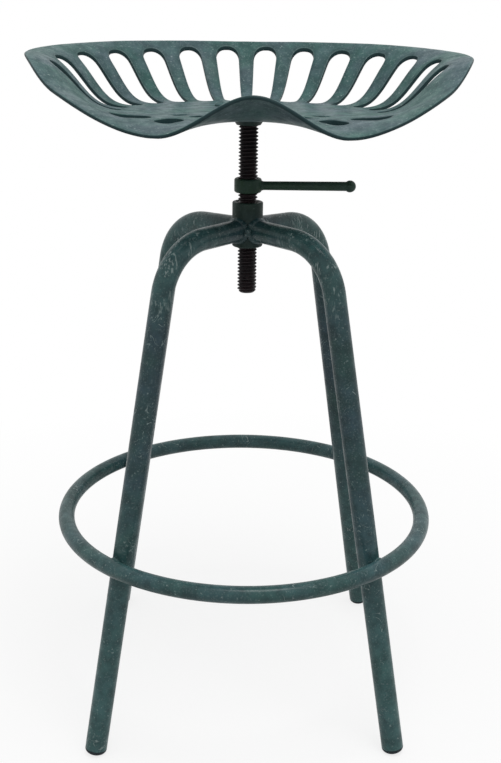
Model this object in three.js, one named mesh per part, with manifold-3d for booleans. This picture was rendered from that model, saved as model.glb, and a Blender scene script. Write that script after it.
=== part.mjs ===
// A tractor seat stool in millimetres: a slotted pan on a lead screw, a hub, four bent legs and a foot ring.
// +Z is up and the seat's raised front point looks towards -Y. The origin is on the floor, under the screw.
import * as THREE from "three";
import { mergeVertices } from "three/addons/utils/BufferGeometryUtils.js";
import Module from "manifold-3d";

// Shared fits
const clearance = 0.3; // air left between neighbouring pieces
const overrun = 1; // how far a cutting shape runs past what it cuts
const mergeDistance = 0.0005; // corners closer than this are taken as one

// Seat pan, seen from above as two half ovals that meet at the sides
const seatHalfWidth = 241;
const seatRearDepth = 183;
const seatFrontDepth = 190;
const rearRoundness = 1.9;
const frontRoundness = 2.17;
const panThickness = 4.3;
const panFloor = 712.5; // middle of the pan's wall at its centre

// Height of the rim from the pommel, over the thigh lobes, to the back
const pommelRim = 743;
const lobeRim = 703;
const thighRim = 740.5;
const wingRim = 767.5;
const sideRim = 772;
const shoulderRim = 779;
const lobeAngle = THREE.MathUtils.degToRad(-62);
const thighAngle = THREE.MathUtils.degToRad(-30);
const wingAngle = THREE.MathUtils.degToRad(-15);
const shoulderAngle = THREE.MathUtils.degToRad(45);

// How the wall rises from the floor to the rim: level, then steeper, then easing off into the lip
const levelShare = 0.473;
const backWall = { power: 2.46, lipShare: 0.914, lipPower: 0.585 };
const sideWall = { power: 4.55, lipShare: 0.828, lipPower: -0.29 };
const frontWall = { power: 2, lipShare: 1.19, lipPower: 1 };
const lipSharpness = 6;

// A fan of long slots round the back and the sides, spread from a point on the pan
const fanCentre = -26.6; // the fan's centre along Y
const slotPitch = THREE.MathUtils.degToRad(14.06);
const longSlotsPerSide = 7;
const backSlotInner = 125.4; // reach from the fan's centre
const sideSlotInner = 138;
const slotInnerWidth = 20;
const slotOuterWidth = 29.3;
const slotRounding = 0.85; // corner radius as a share of the half width
const backBand = 9.1; // metal between the slot and the rim at the back
const sideBand = 26.3;

// Short slots in each thigh lobe, by their angle from the back and their shares of the way to the rim
const thighSlotAngle = THREE.MathUtils.degToRad(124);
const lobeSlotAngle = THREE.MathUtils.degToRad(139.5);
const innerSlotWidth = 12;
const thighSlotWidth = 22;
const lobeSlotWidth = 18;
const lobeSlots = [
  { angle: thighSlotAngle, startShare: 0.38, endShare: 0.48, width: innerSlotWidth },
  { angle: thighSlotAngle, startShare: 0.61, endShare: 0.825, width: thighSlotWidth },
  { angle: lobeSlotAngle, startShare: 0.4, endShare: 0.505, width: innerSlotWidth },
  { angle: lobeSlotAngle, startShare: 0.595, endShare: 0.765, width: lobeSlotWidth },
];

// Mounting plate, boss and the bolts that hold the pan to the plate
const plateSize = 92;
const plateCorner = 12;
const plateThickness = 4;
const bossHeight = 8.5;
const bossLowerDiameter = 27;
const bossUpperDiameter = 38;
const boltSpacing = 60;
const boltDiameter = 8;
const boltHeadDiameter = 16;
const boltHeadHeight = 4;

// Lead screw
const screwDiameter = 22;
const screwBottom = 507;
const screwChamfer = 2.5;

// Lock nut and its handle
const lockNutDiameter = 31;
const lockNutBottom = 622.5;
const lockNutTop = 638.5;
const lockNutChamfer = 2;
const handleHeight = 630;
const handleRootDiameter = 9.8;
const handleTipDiameter = 10.5;
const handleNeckDiameter = 13;
const handleNeckLength = 3.5; // taper from the neck to the bar
const ballReach = 115.5; // from the screw's axis to the ball's centre
const ballDiameter = 13.5;
const ballSocketDepth = 5;

// Hub
const hubDiameter = 35;
const hubBottom = 561;
const hubTop = 612;
const hubLowerChamfer = 2.5;
const hubUpperChamfer = 1.25;
const hubMouth = 2.5; // countersink at the top of the bore

// Legs: a run out of the hub, one bend and a straight run to the floor
const legDiameter = 25;
const legWall = 1.5;
const legBendShare = 0.497; // how much of the way from the hub to the corner the bend takes
const legHubHeight = 581;
const legDroop = THREE.MathUtils.degToRad(2); // fall of the run out of the hub
const legFootRadius = 245; // from the origin to where the leg's axis meets the floor

// Foot ring, round the outside of the legs
const ringRadius = 218;
const ringTubeDiameter = 19;
const ringHeight = 231.5;

// Plug in the lower end of each leg
const plugFlange = 6;
const plugDome = 7.5;
const plugStem = 18;

// Weld beads
const hubBeadDiameter = 5;
const hubBeadValley = 4.5; // nearest that a bead comes to the legs' middle, between two legs
const ringWeldLength = 18; // along the ring
const ringWeldHeight = 16;
const ringWeldDepth = 11; // from the leg to the ring
const ringWeldRoot = 2.5; // radius left open where the leg and the ring meet

// How finely the curves are worked out and cut into facets
const slopeStep = 0.5; // distance over which the pan's slope is measured
const reachSteps = 20; // rounds of the search for the rim from the fan's centre
const roundSegments = 24;
const tubeSegments = 12;
const ballSegments = 8;
const boltSegments = 12;
const bendSegments = 7;
const ringSegments = 64;
const ringTubeSegments = 10;
const beadStations = 36;
const beadSegments = 5;
const panSpokes = 72;
const panShares = [levelShare, 0.57, 0.66, 0.74, 0.81, 0.88, 0.94, 1];
const cornerSegments = 3;

const paint = new THREE.MeshStandardMaterial({ color: 0x344f51, roughness: 0.55, metalness: 0.25 });
const seatPaint = new THREE.MeshStandardMaterial({ color: 0x54726e, roughness: 0.5, metalness: 0.25 });
const nutPaint = new THREE.MeshStandardMaterial({ color: 0x1d3022, roughness: 0.5, metalness: 0.2 });
const blackSteel = new THREE.MeshStandardMaterial({ color: 0x231f20, roughness: 0.45, metalness: 0.7 });
const plugRubber = new THREE.MeshStandardMaterial({ color: 0x1c2a2e, roughness: 0.8, metalness: 0 });

const wasm = await Module();
wasm.setup();

const stool = new THREE.Group();

// A closed geometry as a solid that can be joined and cut.
function solidOf(geometry) {
  const bare = geometry.index ? geometry.toNonIndexed() : geometry.clone();
  bare.deleteAttribute("normal");
  bare.deleteAttribute("uv");
  const merged = mergeVertices(bare, mergeDistance);
  return new wasm.Manifold(
    new wasm.Mesh({
      numProp: 3,
      vertProperties: new Float32Array(merged.attributes.position.array),
      triVerts: new Uint32Array(merged.index.array),
    }),
  );
}

// A solid as a geometry again.
function geometryOf(solid) {
  const mesh = solid.getMesh();
  const geometry = new THREE.BufferGeometry();
  geometry.setAttribute("position", new THREE.Float32BufferAttribute(mesh.vertProperties, mesh.numProp));
  geometry.setIndex(new THREE.Uint32BufferAttribute(mesh.triVerts, 1));
  geometry.computeVertexNormals();
  return geometry;
}

// The first geometry with all the others taken out of it.
function cut(geometry, ...cutters) {
  const solid = cutters.reduce((left, cutter) => left.subtract(solidOf(cutter)), solidOf(geometry));
  return geometryOf(solid);
}

function addMesh(name, geometry, material, parent = stool) {
  const mesh = new THREE.Mesh(geometry, material);
  mesh.name = name;
  parent.add(mesh);
  return mesh;
}

// A solid of revolution about Z from [radius, height] pairs that run up the outside.
function revolve(profile, segments) {
  const points = profile.map(([radius, height]) => new THREE.Vector2(radius, height));
  const geometry = new THREE.LatheGeometry(points, segments);
  geometry.rotateX(Math.PI / 2);
  return geometry;
}

// A solid of revolution with a bore: its outer profile, closed by the wall of the bore.
function revolveWithBore(boreRadius, profile, segments) {
  const bottom = profile[0][1];
  const top = profile[profile.length - 1][1];
  return revolve([[boreRadius, bottom], ...profile, [boreRadius, top], [boreRadius, bottom]], segments);
}

// A plain round bar along Z, used to cut.
function bar(radius, bottom, top, segments) {
  return revolve([[0, bottom], [radius, bottom], [radius, top], [0, top]], segments);
}

// Skins a row of rings into one closed body. Each ring runs anticlockwise seen from the end of the row.
function loft(rings, closed) {
  const count = rings[0].length;
  const positions = rings.flat().flatMap((point) => point.toArray());
  const faces = [];
  const spans = closed ? rings.length : rings.length - 1;
  for (let i = 0; i < spans; i++) {
    const near = i * count;
    const far = ((i + 1) % rings.length) * count;
    for (let j = 0; j < count; j++) {
      const k = (j + 1) % count;
      faces.push(near + j, near + k, far + j, near + k, far + k, far + j);
    }
  }
  const last = (rings.length - 1) * count;
  for (let j = 1; !closed && j < count - 1; j++) {
    faces.push(0, j + 1, j, last, last + j, last + j + 1);
  }
  const geometry = new THREE.BufferGeometry();
  geometry.setAttribute("position", new THREE.Float32BufferAttribute(positions, 3));
  geometry.setIndex(faces);
  geometry.computeVertexNormals();
  return geometry;
}

// A ring of points round a centre, square to a direction that lies in the XZ plane.
function ringAcross(centre, direction, radius, segments) {
  const side = new THREE.Vector3(0, 1, 0);
  const over = new THREE.Vector3().crossVectors(direction, side);
  return Array.from({ length: segments }, (_, j) => {
    const turn = (2 * Math.PI * j) / segments;
    return centre
      .clone()
      .addScaledVector(side, radius * Math.cos(turn))
      .addScaledVector(over, radius * Math.sin(turn));
  });
}

// Leg route, in the XZ plane of the leg

const hubRadius = hubDiameter / 2;
const legRadius = legDiameter / 2;
const ringTubeRadius = ringTubeDiameter / 2;

// The lean that brings the leg's side to the inside of the foot ring.
function legLean() {
  const out = legFootRadius - ringRadius;
  const reach = Math.hypot(out, ringHeight);
  const gap = legRadius + ringTubeRadius + clearance;
  return Math.atan(out / ringHeight) + Math.asin(gap / reach);
}

const lean = legLean();
const legFoot = new THREE.Vector3(legFootRadius, 0, 0);
const legDown = new THREE.Vector3(Math.sin(lean), 0, -Math.cos(lean));
const legOut = new THREE.Vector3(Math.cos(legDroop), 0, -Math.sin(legDroop));
const legStart = new THREE.Vector3(0, 0, legHubHeight);

// How far out of the hub's axis the two straight runs would meet in a corner.
function cornerReach() {
  const toFoot = legFoot.clone().sub(legStart);
  const spread = legOut.x * legDown.z - legOut.z * legDown.x;
  return (toFoot.x * legDown.z - toFoot.z * legDown.x) / spread;
}

// Centres and directions of the tube's sections from the hub down to the plug.
function legStations() {
  const reach = cornerReach();
  const trim = (reach - hubRadius) * legBendShare;
  const turn = legOut.angleTo(legDown);
  const bendRadius = trim / Math.tan(turn / 2);
  const bendStart = legStart.clone().addScaledVector(legOut, reach - trim);
  const inward = new THREE.Vector3(legOut.z, 0, -legOut.x);
  const bendCentre = bendStart.clone().addScaledVector(inward, bendRadius);
  const stations = [{ centre: legStart, direction: legOut }];
  for (let i = 0; i <= bendSegments; i++) {
    const swing = (turn * i) / bendSegments;
    const outward = inward.clone().negate().applyAxisAngle(new THREE.Vector3(0, 1, 0), swing);
    const direction = legOut.clone().applyAxisAngle(new THREE.Vector3(0, 1, 0), swing);
    stations.push({ centre: bendCentre.clone().addScaledVector(outward, bendRadius), direction });
  }
  const end = legFoot.clone().addScaledVector(legDown, -plugFlange - clearance);
  stations.push({ centre: end, direction: legDown });
  return stations;
}

// Legs, their plugs and the welds to the foot ring

const legQuarters = [
  { name: "front_left", azimuth: (-3 * Math.PI) / 4 },
  { name: "front_right", azimuth: -Math.PI / 4 },
  { name: "rear_right", azimuth: Math.PI / 4 },
  { name: "rear_left", azimuth: (3 * Math.PI) / 4 },
];

// Rings of points along a leg's route, at one distance from its axis.
function legRings(radius) {
  return legStations().map((s) => ringAcross(s.centre, s.direction, radius, tubeSegments));
}

// The room that a leg takes up, used to cut what fits round it.
function legRoom() {
  return loft(legRings(legRadius + clearance), false);
}

function legGeometry() {
  const tube = loft([...legRings(legRadius), ...legRings(legRadius - legWall).reverse()], true);
  return cut(tube, bar(hubRadius + clearance, hubBottom - overrun, hubTop + overrun, roundSegments));
}

// The plug, drawn upright on Z, leant with the leg and cut level with the floor.
function plugGeometry() {
  const stemRadius = legRadius - legWall - clearance;
  const profile = [];
  for (let i = 0; i <= cornerSegments; i++) {
    const turn = (Math.PI / 2) * (i / cornerSegments);
    profile.push([legRadius * Math.sin(turn), plugFlange - plugDome * Math.cos(turn)]);
  }
  profile.push([stemRadius, plugFlange], [stemRadius, plugFlange + plugStem], [0, plugFlange + plugStem]);
  const plug = revolve(profile, tubeSegments);
  plug.rotateY(-lean);
  plug.translate(legFoot.x, 0, 0);
  const block = 2 * legDiameter;
  const underFloor = new THREE.BoxGeometry(block, block, block);
  underFloor.translate(legFoot.x, 0, -block / 2);
  return cut(plug, underFloor);
}

function ringGeometry(extra) {
  return new THREE.TorusGeometry(ringRadius, ringTubeRadius + extra, ringTubeSegments, ringSegments);
}

// A fillet of weld that runs round the spot where a leg touches the ring, open in the middle.
function ringWeldGeometry() {
  const outward = new THREE.Vector3(Math.cos(lean), 0, Math.sin(lean));
  const ringCentre = new THREE.Vector3(ringRadius, 0, ringHeight);
  const touch = ringCentre.clone().addScaledVector(outward, -ringTubeRadius);
  const bead = new THREE.SphereGeometry(ringWeldLength / 2, tubeSegments, ballSegments);
  bead.scale(ringWeldDepth / ringWeldLength, 1, ringWeldHeight / ringWeldLength);
  bead.rotateY(-lean);
  bead.translate(touch.x, touch.y, touch.z);
  const middle = bar(ringWeldRoot, -legRadius, legRadius, ballSegments);
  middle.rotateY(Math.PI / 2 - lean);
  middle.translate(touch.x, touch.y, touch.z);
  const ring = ringGeometry(clearance);
  ring.translate(0, 0, ringHeight);
  return cut(bead, middle, legRoom(), ring);
}

const legShape = legGeometry();
const plugShape = plugGeometry();
const ringWeldShape = ringWeldGeometry();
for (const { name, azimuth } of legQuarters) {
  const quarter = new THREE.Group();
  quarter.rotation.z = azimuth;
  stool.add(quarter);
  addMesh("leg_" + name, legShape, paint, quarter);
  addMesh("foot_plug_" + name, plugShape, plugRubber, quarter);
  addMesh("ring_weld_" + name, ringWeldShape, paint, quarter);
}

addMesh("foot_ring", ringGeometry(0), paint).position.z = ringHeight;

// Hub and its weld beads

const screwRadius = screwDiameter / 2;

function hubGeometry() {
  const profile = [
    [screwRadius + clearance, hubBottom],
    [hubRadius - hubLowerChamfer, hubBottom],
    [hubRadius, hubBottom + hubLowerChamfer],
    [hubRadius, hubTop - hubUpperChamfer],
    [hubRadius - hubUpperChamfer, hubTop],
    [screwRadius + clearance + hubMouth, hubTop],
    [screwRadius + clearance, hubTop - hubMouth],
    [screwRadius + clearance, hubBottom],
  ];
  return revolve(profile, roundSegments);
}

// A bead that follows the four legs' outline on the hub; side is 1 for the upper bead, -1 for the lower one.
function hubBeadGeometry(side) {
  const beadRadius = hubBeadDiameter / 2;
  const reach = hubRadius + beadRadius / 2;
  const legMiddle = legHubHeight - reach * Math.tan(legDroop);
  const rings = [];
  for (let i = 0; i < beadStations; i++) {
    const azimuth = (2 * Math.PI * i) / beadStations;
    const besideLeg = Math.abs((azimuth % (Math.PI / 2)) - Math.PI / 4);
    const legArch = (legRadius + beadRadius / 2) ** 2 - (reach * Math.sin(besideLeg)) ** 2;
    const rise = Math.sqrt(Math.max(legArch, hubBeadValley ** 2));
    const outward = new THREE.Vector3(Math.cos(azimuth), Math.sin(azimuth), 0);
    const centre = outward.clone().multiplyScalar(reach).setZ(legMiddle + side * rise);
    const ring = [];
    for (let j = 0; j < beadSegments; j++) {
      const turn = (2 * Math.PI * j) / beadSegments;
      const up = new THREE.Vector3(0, 0, beadRadius * Math.cos(turn));
      ring.push(centre.clone().add(up).addScaledVector(outward, beadRadius * Math.sin(turn)));
    }
    rings.push(ring);
  }
  const cutters = [bar(hubRadius + clearance, hubBottom - overrun, hubTop + overrun, roundSegments)];
  for (const { azimuth } of legQuarters) {
    cutters.push(legRoom().rotateZ(azimuth));
  }
  return cut(loft(rings, true), ...cutters);
}

addMesh("hub_sleeve", hubGeometry(), paint);
addMesh("hub_weld_upper", hubBeadGeometry(1), paint);
addMesh("hub_weld_lower", hubBeadGeometry(-1), paint);

// Seat pan

// Distance from the seat's centre to the rim at an angle from the right-hand side.
function rimDistance(angle) {
  const depth = Math.sin(angle) >= 0 ? seatRearDepth : seatFrontDepth;
  const roundness = Math.sin(angle) >= 0 ? rearRoundness : frontRoundness;
  const across = Math.abs(Math.cos(angle) / seatHalfWidth) ** roundness;
  const along = Math.abs(Math.sin(angle) / depth) ** roundness;
  return (across + along) ** (-1 / roundness);
}

// Rim stations as [angle, height], repeated past the front and the back so that the curve is level there.
const rimStations = [
  [-Math.PI - lobeAngle, lobeRim],
  [-Math.PI / 2, pommelRim],
  [lobeAngle, lobeRim],
  [thighAngle, thighRim],
  [wingAngle, wingRim],
  [0, sideRim],
  [shoulderAngle, shoulderRim],
  [Math.PI / 2, shoulderRim],
  [Math.PI - shoulderAngle, shoulderRim],
];

// Height of the rim at an angle between the front and the back: a smooth curve through the stations.
function rimHeight(angle) {
  const slopes = rimStations.map((_, i) => {
    const before = rimStations[Math.max(i - 1, 0)];
    const after = rimStations[Math.min(i + 1, rimStations.length - 1)];
    return (after[1] - before[1]) / (after[0] - before[0]);
  });
  const i = Math.max(1, rimStations.findIndex((station) => station[0] >= angle) - 1);
  const [startAngle, start] = rimStations[i];
  const [endAngle, end] = rimStations[i + 1];
  const width = endAngle - startAngle;
  const t = (angle - startAngle) / width;
  const startPull = (t ** 3 - 2 * t ** 2 + t) * width * slopes[i];
  const endPull = (t ** 3 - t ** 2) * width * slopes[i + 1];
  return start + (end - start) * (3 * t ** 2 - 2 * t ** 3) + startPull + endPull;
}

// How far the wall has risen at a share of the way to the rim, before it is scaled to reach 1 at the rim.
function rise(share, wall) {
  const run = Math.max(share - levelShare, 0) / (1 - levelShare);
  const lip = (wall.lipShare - levelShare) / (1 - levelShare);
  const easing = (wall.power - wall.lipPower) / lipSharpness;
  return run ** wall.power / (1 + (run / lip) ** lipSharpness) ** easing;
}

// Height of the middle of the pan's wall at a point seen from above.
function panHeight(x, y) {
  const angle = Math.atan2(y, Math.abs(x));
  const share = Math.hypot(x, y) / rimDistance(angle);
  const endWall = angle > 0 ? backWall : frontWall;
  const endWeight = Math.sin(angle) ** 2;
  const wall = {};
  for (const key of Object.keys(sideWall)) {
    wall[key] = sideWall[key] + (endWall[key] - sideWall[key]) * endWeight;
  }
  return panFloor + ((rimHeight(angle) - panFloor) * rise(share, wall)) / rise(1, wall);
}

// The pan's upward normal at a point seen from above.
function panNormal(x, y) {
  const across = panHeight(x + slopeStep, y) - panHeight(x - slopeStep, y);
  const along = panHeight(x, y + slopeStep) - panHeight(x, y - slopeStep);
  return new THREE.Vector3(-across, -along, 2 * slopeStep).normalize();
}

// One ring of the pan's skin; side is 1 for the top skin, 0 for the rim's nose and -1 for the underside.
function panRing(share, side) {
  return Array.from({ length: panSpokes }, (_, j) => {
    const angle = -Math.PI / 2 - (2 * Math.PI * j) / panSpokes;
    const reach = share * (rimDistance(angle) - panThickness / 2);
    const x = reach * Math.cos(angle);
    const y = reach * Math.sin(angle);
    const middle = new THREE.Vector3(x, y, panHeight(x, y));
    if (side === 0) {
      return middle.add(new THREE.Vector3(x, y, 0).setLength(panThickness / 2));
    }
    return middle.addScaledVector(panNormal(x, y), (side * panThickness) / 2);
  });
}

// An outline through corners, each rounded over its own length.
function roundedShape(corners) {
  const shape = new THREE.Shape();
  corners.forEach(({ point, rounding }, i) => {
    const before = corners[(i + corners.length - 1) % corners.length].point;
    const after = corners[(i + 1) % corners.length].point;
    const start = point.clone().add(before.clone().sub(point).setLength(rounding));
    const end = point.clone().add(after.clone().sub(point).setLength(rounding));
    if (i === 0) {
      shape.moveTo(start.x, start.y);
    } else {
      shape.lineTo(start.x, start.y);
    }
    shape.quadraticCurveTo(point.x, point.y, end.x, end.y);
  });
  shape.closePath();
  return shape;
}

// The cutter of one slot, pointing away from the seat's centre at an angle from the back, towards +X.
function slotCutter(angle, inner, outer, innerWidth, outerWidth) {
  const corner = (reach, width, side) => ({
    point: new THREE.Vector2((side * width) / 2, reach),
    rounding: (width / 2) * slotRounding,
  });
  const shape = roundedShape([
    corner(inner, innerWidth, -1),
    corner(inner, innerWidth, 1),
    corner(outer, outerWidth, 1),
    corner(outer, outerWidth, -1),
  ]);
  const bottom = lobeRim - panThickness - overrun;
  const top = shoulderRim + panThickness + overrun;
  const extrusion = { depth: top - bottom, bevelEnabled: false, curveSegments: cornerSegments };
  const cutter = new THREE.ExtrudeGeometry(shape, extrusion);
  cutter.translate(0, 0, bottom);
  cutter.rotateZ(-angle);
  cutter.translate(0, fanCentre, 0);
  return cutter;
}

// Distance from the fan's centre to the rim, in a direction given by its angle from the back.
function fanReach(angle) {
  let reach = seatRearDepth;
  for (let i = 0; i < reachSteps; i++) {
    const x = reach * Math.sin(angle);
    const y = fanCentre + reach * Math.cos(angle);
    reach *= rimDistance(Math.atan2(y, x)) / Math.hypot(x, y);
  }
  return reach;
}

function slotCutters() {
  const slots = lobeSlots.map(({ angle, startShare, endShare, width }) => {
    const reach = fanReach(angle);
    return [angle, startShare * reach, endShare * reach, width, width];
  });
  for (let i = 0; i < longSlotsPerSide; i++) {
    const angle = (i + 0.5) * slotPitch;
    const sideways = Math.sin(Math.min(angle, Math.PI / 2)) ** 2;
    const inner = backSlotInner + (sideSlotInner - backSlotInner) * sideways;
    const band = backBand + (sideBand - backBand) * sideways;
    slots.push([angle, inner, fanReach(angle) - band, slotInnerWidth, slotOuterWidth]);
  }
  return slots.flatMap(([angle, ...sizes]) => [slotCutter(angle, ...sizes), slotCutter(-angle, ...sizes)]);
}

// The four corners of a square of a given size, in turn.
function squareCorners(size) {
  const half = size / 2;
  return [
    [-half, -half],
    [half, -half],
    [half, half],
    [-half, half],
  ];
}

const boltRadius = boltDiameter / 2;
const boltPlaces = squareCorners(boltSpacing);
const panUnderside = panFloor - panThickness / 2;
const plateBottom = panUnderside - clearance - plateThickness;

function boltHoles() {
  const bottom = plateBottom - overrun;
  const top = panFloor + panThickness + overrun;
  return boltPlaces.map(([x, y]) => {
    const hole = bar(boltRadius + clearance, bottom, top, boltSegments);
    return hole.translate(x, y, 0);
  });
}

function panGeometry() {
  const top = panShares.map((share) => panRing(share, 1));
  const underside = panShares.map((share) => panRing(share, -1));
  const pan = loft([...top, panRing(1, 0), ...underside.reverse()], false);
  return cut(pan, ...slotCutters(), ...boltHoles());
}

function plateGeometry() {
  const corners = squareCorners(plateSize).map(([x, y]) => ({
    point: new THREE.Vector2(x, y),
    rounding: plateCorner,
  }));
  const plate = new THREE.ExtrudeGeometry(roundedShape(corners), {
    depth: plateThickness,
    bevelEnabled: false,
    curveSegments: cornerSegments,
  });
  plate.translate(0, 0, plateBottom);
  return cut(plate, ...boltHoles());
}

addMesh("seat_pan", panGeometry(), seatPaint);
addMesh("mounting_plate", plateGeometry(), paint);

// Boss and lead screw

const bossTop = plateBottom - clearance;
const bossProfile = [
  [bossLowerDiameter / 2, bossTop - bossHeight],
  [bossUpperDiameter / 2, bossTop],
];
addMesh("screw_boss", revolveWithBore(screwRadius + clearance, bossProfile, roundSegments), paint);

const screwProfile = [
  [0, screwBottom],
  [screwRadius - screwChamfer, screwBottom],
  [screwRadius, screwBottom + screwChamfer],
  [screwRadius, bossTop],
  [0, bossTop],
];
addMesh("lead_screw", revolve(screwProfile, roundSegments), blackSteel);

// Domed bolts through the pan, ending level with the plate's underside

function boltGeometry() {
  const headRadius = boltHeadDiameter / 2;
  const headBottom = panFloor + panThickness / 2 + clearance;
  const profile = [
    [0, plateBottom],
    [boltRadius, plateBottom],
    [boltRadius, headBottom],
    [headRadius, headBottom],
  ];
  for (let i = 1; i <= cornerSegments; i++) {
    const turn = (Math.PI / 2) * (i / cornerSegments);
    profile.push([headRadius * Math.cos(turn), headBottom + boltHeadHeight * Math.sin(turn)]);
  }
  return revolve(profile, boltSegments);
}

const boltShape = boltGeometry();
boltPlaces.forEach(([x, y], i) => {
  const place = new THREE.Group();
  place.position.set(x, y, 0);
  stool.add(place);
  addMesh("seat_bolt_" + (i + 1), boltShape, seatPaint, place);
});

// Lock nut with its handle

const lockNutRadius = lockNutDiameter / 2;
const lockNutProfile = [
  [lockNutRadius - lockNutChamfer, lockNutBottom],
  [lockNutRadius, lockNutBottom + lockNutChamfer],
  [lockNutRadius, lockNutTop - lockNutChamfer],
  [lockNutRadius - lockNutChamfer, lockNutTop],
];
addMesh("lock_nut", revolveWithBore(screwRadius + clearance, lockNutProfile, roundSegments), nutPaint);

// The bar and the ball, drawn along Z and laid along X.
function layAlongX(geometry) {
  geometry.rotateY(Math.PI / 2);
  geometry.translate(0, 0, handleHeight);
  return geometry;
}

const handleTipRadius = handleTipDiameter / 2;
const ballRadius = ballDiameter / 2;
const socketBottom = ballReach - ballRadius + ballSocketDepth;

function handleGeometry() {
  const profile = [
    [0, screwRadius + clearance],
    [handleNeckDiameter / 2, screwRadius + clearance],
    [handleNeckDiameter / 2, lockNutRadius],
    [handleRootDiameter / 2, lockNutRadius + handleNeckLength],
    [handleTipRadius, socketBottom - clearance],
    [0, socketBottom - clearance],
  ];
  const holeRadius = lockNutRadius + clearance;
  const nutHole = bar(holeRadius, lockNutBottom - overrun, lockNutTop + overrun, roundSegments);
  return cut(layAlongX(revolve(profile, tubeSegments)), nutHole);
}

function ballGeometry() {
  const ball = new THREE.SphereGeometry(ballRadius, tubeSegments, ballSegments);
  ball.rotateX(Math.PI / 2);
  ball.translate(0, 0, ballReach);
  const socket = bar(handleTipRadius + clearance, ballReach - ballDiameter, socketBottom, tubeSegments);
  return layAlongX(cut(ball, socket));
}

addMesh("lock_handle", handleGeometry(), nutPaint);
addMesh("handle_ball", ballGeometry(), nutPaint);

export default stool;
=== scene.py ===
import math
import bmesh
import bpy
import numpy as np
from mathutils import Matrix, Vector, noise
from mathutils.geometry import delaunay_2d_cdt


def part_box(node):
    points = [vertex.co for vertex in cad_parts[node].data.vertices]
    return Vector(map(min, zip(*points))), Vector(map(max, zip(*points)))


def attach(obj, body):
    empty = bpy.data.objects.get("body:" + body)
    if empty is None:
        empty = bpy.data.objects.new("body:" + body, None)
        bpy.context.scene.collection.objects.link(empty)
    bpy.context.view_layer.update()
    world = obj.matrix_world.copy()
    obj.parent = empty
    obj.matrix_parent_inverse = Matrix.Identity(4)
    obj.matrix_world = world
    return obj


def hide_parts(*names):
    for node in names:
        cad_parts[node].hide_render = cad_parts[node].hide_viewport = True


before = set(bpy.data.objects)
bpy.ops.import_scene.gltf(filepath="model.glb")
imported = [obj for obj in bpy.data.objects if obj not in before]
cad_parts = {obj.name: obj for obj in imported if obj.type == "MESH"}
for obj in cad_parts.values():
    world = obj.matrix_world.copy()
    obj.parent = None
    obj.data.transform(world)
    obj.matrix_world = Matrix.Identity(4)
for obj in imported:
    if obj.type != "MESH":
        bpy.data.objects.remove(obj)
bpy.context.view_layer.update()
scene = bpy.context.scene
mm = 0.001  # pieces are worked out in millimetres and settled in metres
print("frame loaded with", len(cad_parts), "nodes")


bench = {"tree": None}  # the node tree that is being made, which new nodes and links go into


def link(source, socket):
    bench["tree"].links.new(source, socket)


# adds a node, sets its options, and fills or links its inputs
def addNode(kind, inputs=None, **options):
    node = bench["tree"].nodes.new(kind)
    for name, value in options.items():
        setattr(node, name, value)
    for key, value in (inputs or {}).items():
        if isinstance(value, bpy.types.NodeSocket):
            link(value, node.inputs[key])
        else:
            node.inputs[key].default_value = value
    return node


def output(kind, inputs=None, **options):  # adds a node and gives its first output
    return addNode(kind, inputs, **options).outputs[0]


def calc(operation, *values):  # one Math node
    return output("ShaderNodeMath", dict(enumerate(values)), operation=operation)


def plus(first, second):
    return calc("ADD", first, second)


def minus(first, second):
    return calc("SUBTRACT", first, second)


def times(result, *factors):
    for factor in factors:
        result = calc("MULTIPLY", result, factor)
    return result


def vectorCalc(operation, *values):
    return addNode("ShaderNodeVectorMath", dict(enumerate(values)), operation=operation).outputs


def pointPlace():
    return output("GeometryNodeInputPosition")


def vector(x, y, z):
    return output("ShaderNodeCombineXYZ", {"X": x, "Y": y, "Z": z})


def split(place):  # X, Y and Z of a vector
    return addNode("ShaderNodeSeparateXYZ", {0: place}).outputs


def remap(value, low, high, newLow=0.0, newHigh=1.0):
    inputs = {"Value": value, "From Min": low, "From Max": high, "To Min": newLow, "To Max": newHigh}
    return output("ShaderNodeMapRange", inputs)


def noiseAt(where, scale, detail=2.0, roughness=0.5, distortion=0.0):
    inputs = {"Vector": where, "Scale": scale, "Detail": detail, "Roughness": roughness,
              "Distortion": distortion}
    return addNode("ShaderNodeTexNoise", inputs).outputs


def stretched(where, amount):  # a place with its Z scaled
    return output("ShaderNodeMapping", {"Vector": where, "Scale": (1.0, 1.0, amount)})


def readMark(name):  # a number that a mesh keeps on its points
    return addNode("ShaderNodeAttribute", attribute_name=name).outputs["Fac"]


def blendColours(factor, first, second):
    return addNode("ShaderNodeMix", {0: factor, 6: first, 7: second}, data_type="RGBA").outputs[2]


def emptyNodes(holder):  # clears the nodes of a material or a world, and puts them on the bench
    holder.use_nodes = True
    holder.node_tree.nodes.clear()
    bench["tree"] = holder.node_tree


# an empty node group on the bench; inputs give each socket's kind and start value, outputs its kind
def newGroup(name, treeKind, inputs, outputs):
    tree = bench["tree"] = bpy.data.node_groups.new(name, treeKind)
    for label, (kind, value) in inputs.items():
        socket = tree.interface.new_socket(label, in_out="INPUT", socket_type="NodeSocket" + kind)
        if value is not None:
            socket.default_value = value
    for label, kind in outputs.items():
        tree.interface.new_socket(label, in_out="OUTPUT", socket_type="NodeSocket" + kind)
    return addNode("NodeGroupInput").outputs, addNode("NodeGroupOutput").inputs


def sizeInputs(sizes):  # a named input for each size
    return {label: ("Int" if isinstance(value, int) else "Float", value) for label, value in sizes.items()}


def newMask(name, sizes):  # a shader group that marks places on a surface
    inputs = {"Vector": ("Vector", None), **sizeInputs(sizes)}
    return newGroup(name, "ShaderNodeTree", inputs, {"Mask": "Float"})


def finishMask(marked, result):
    link(marked, result["Mask"])
    return bench["tree"]


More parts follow.
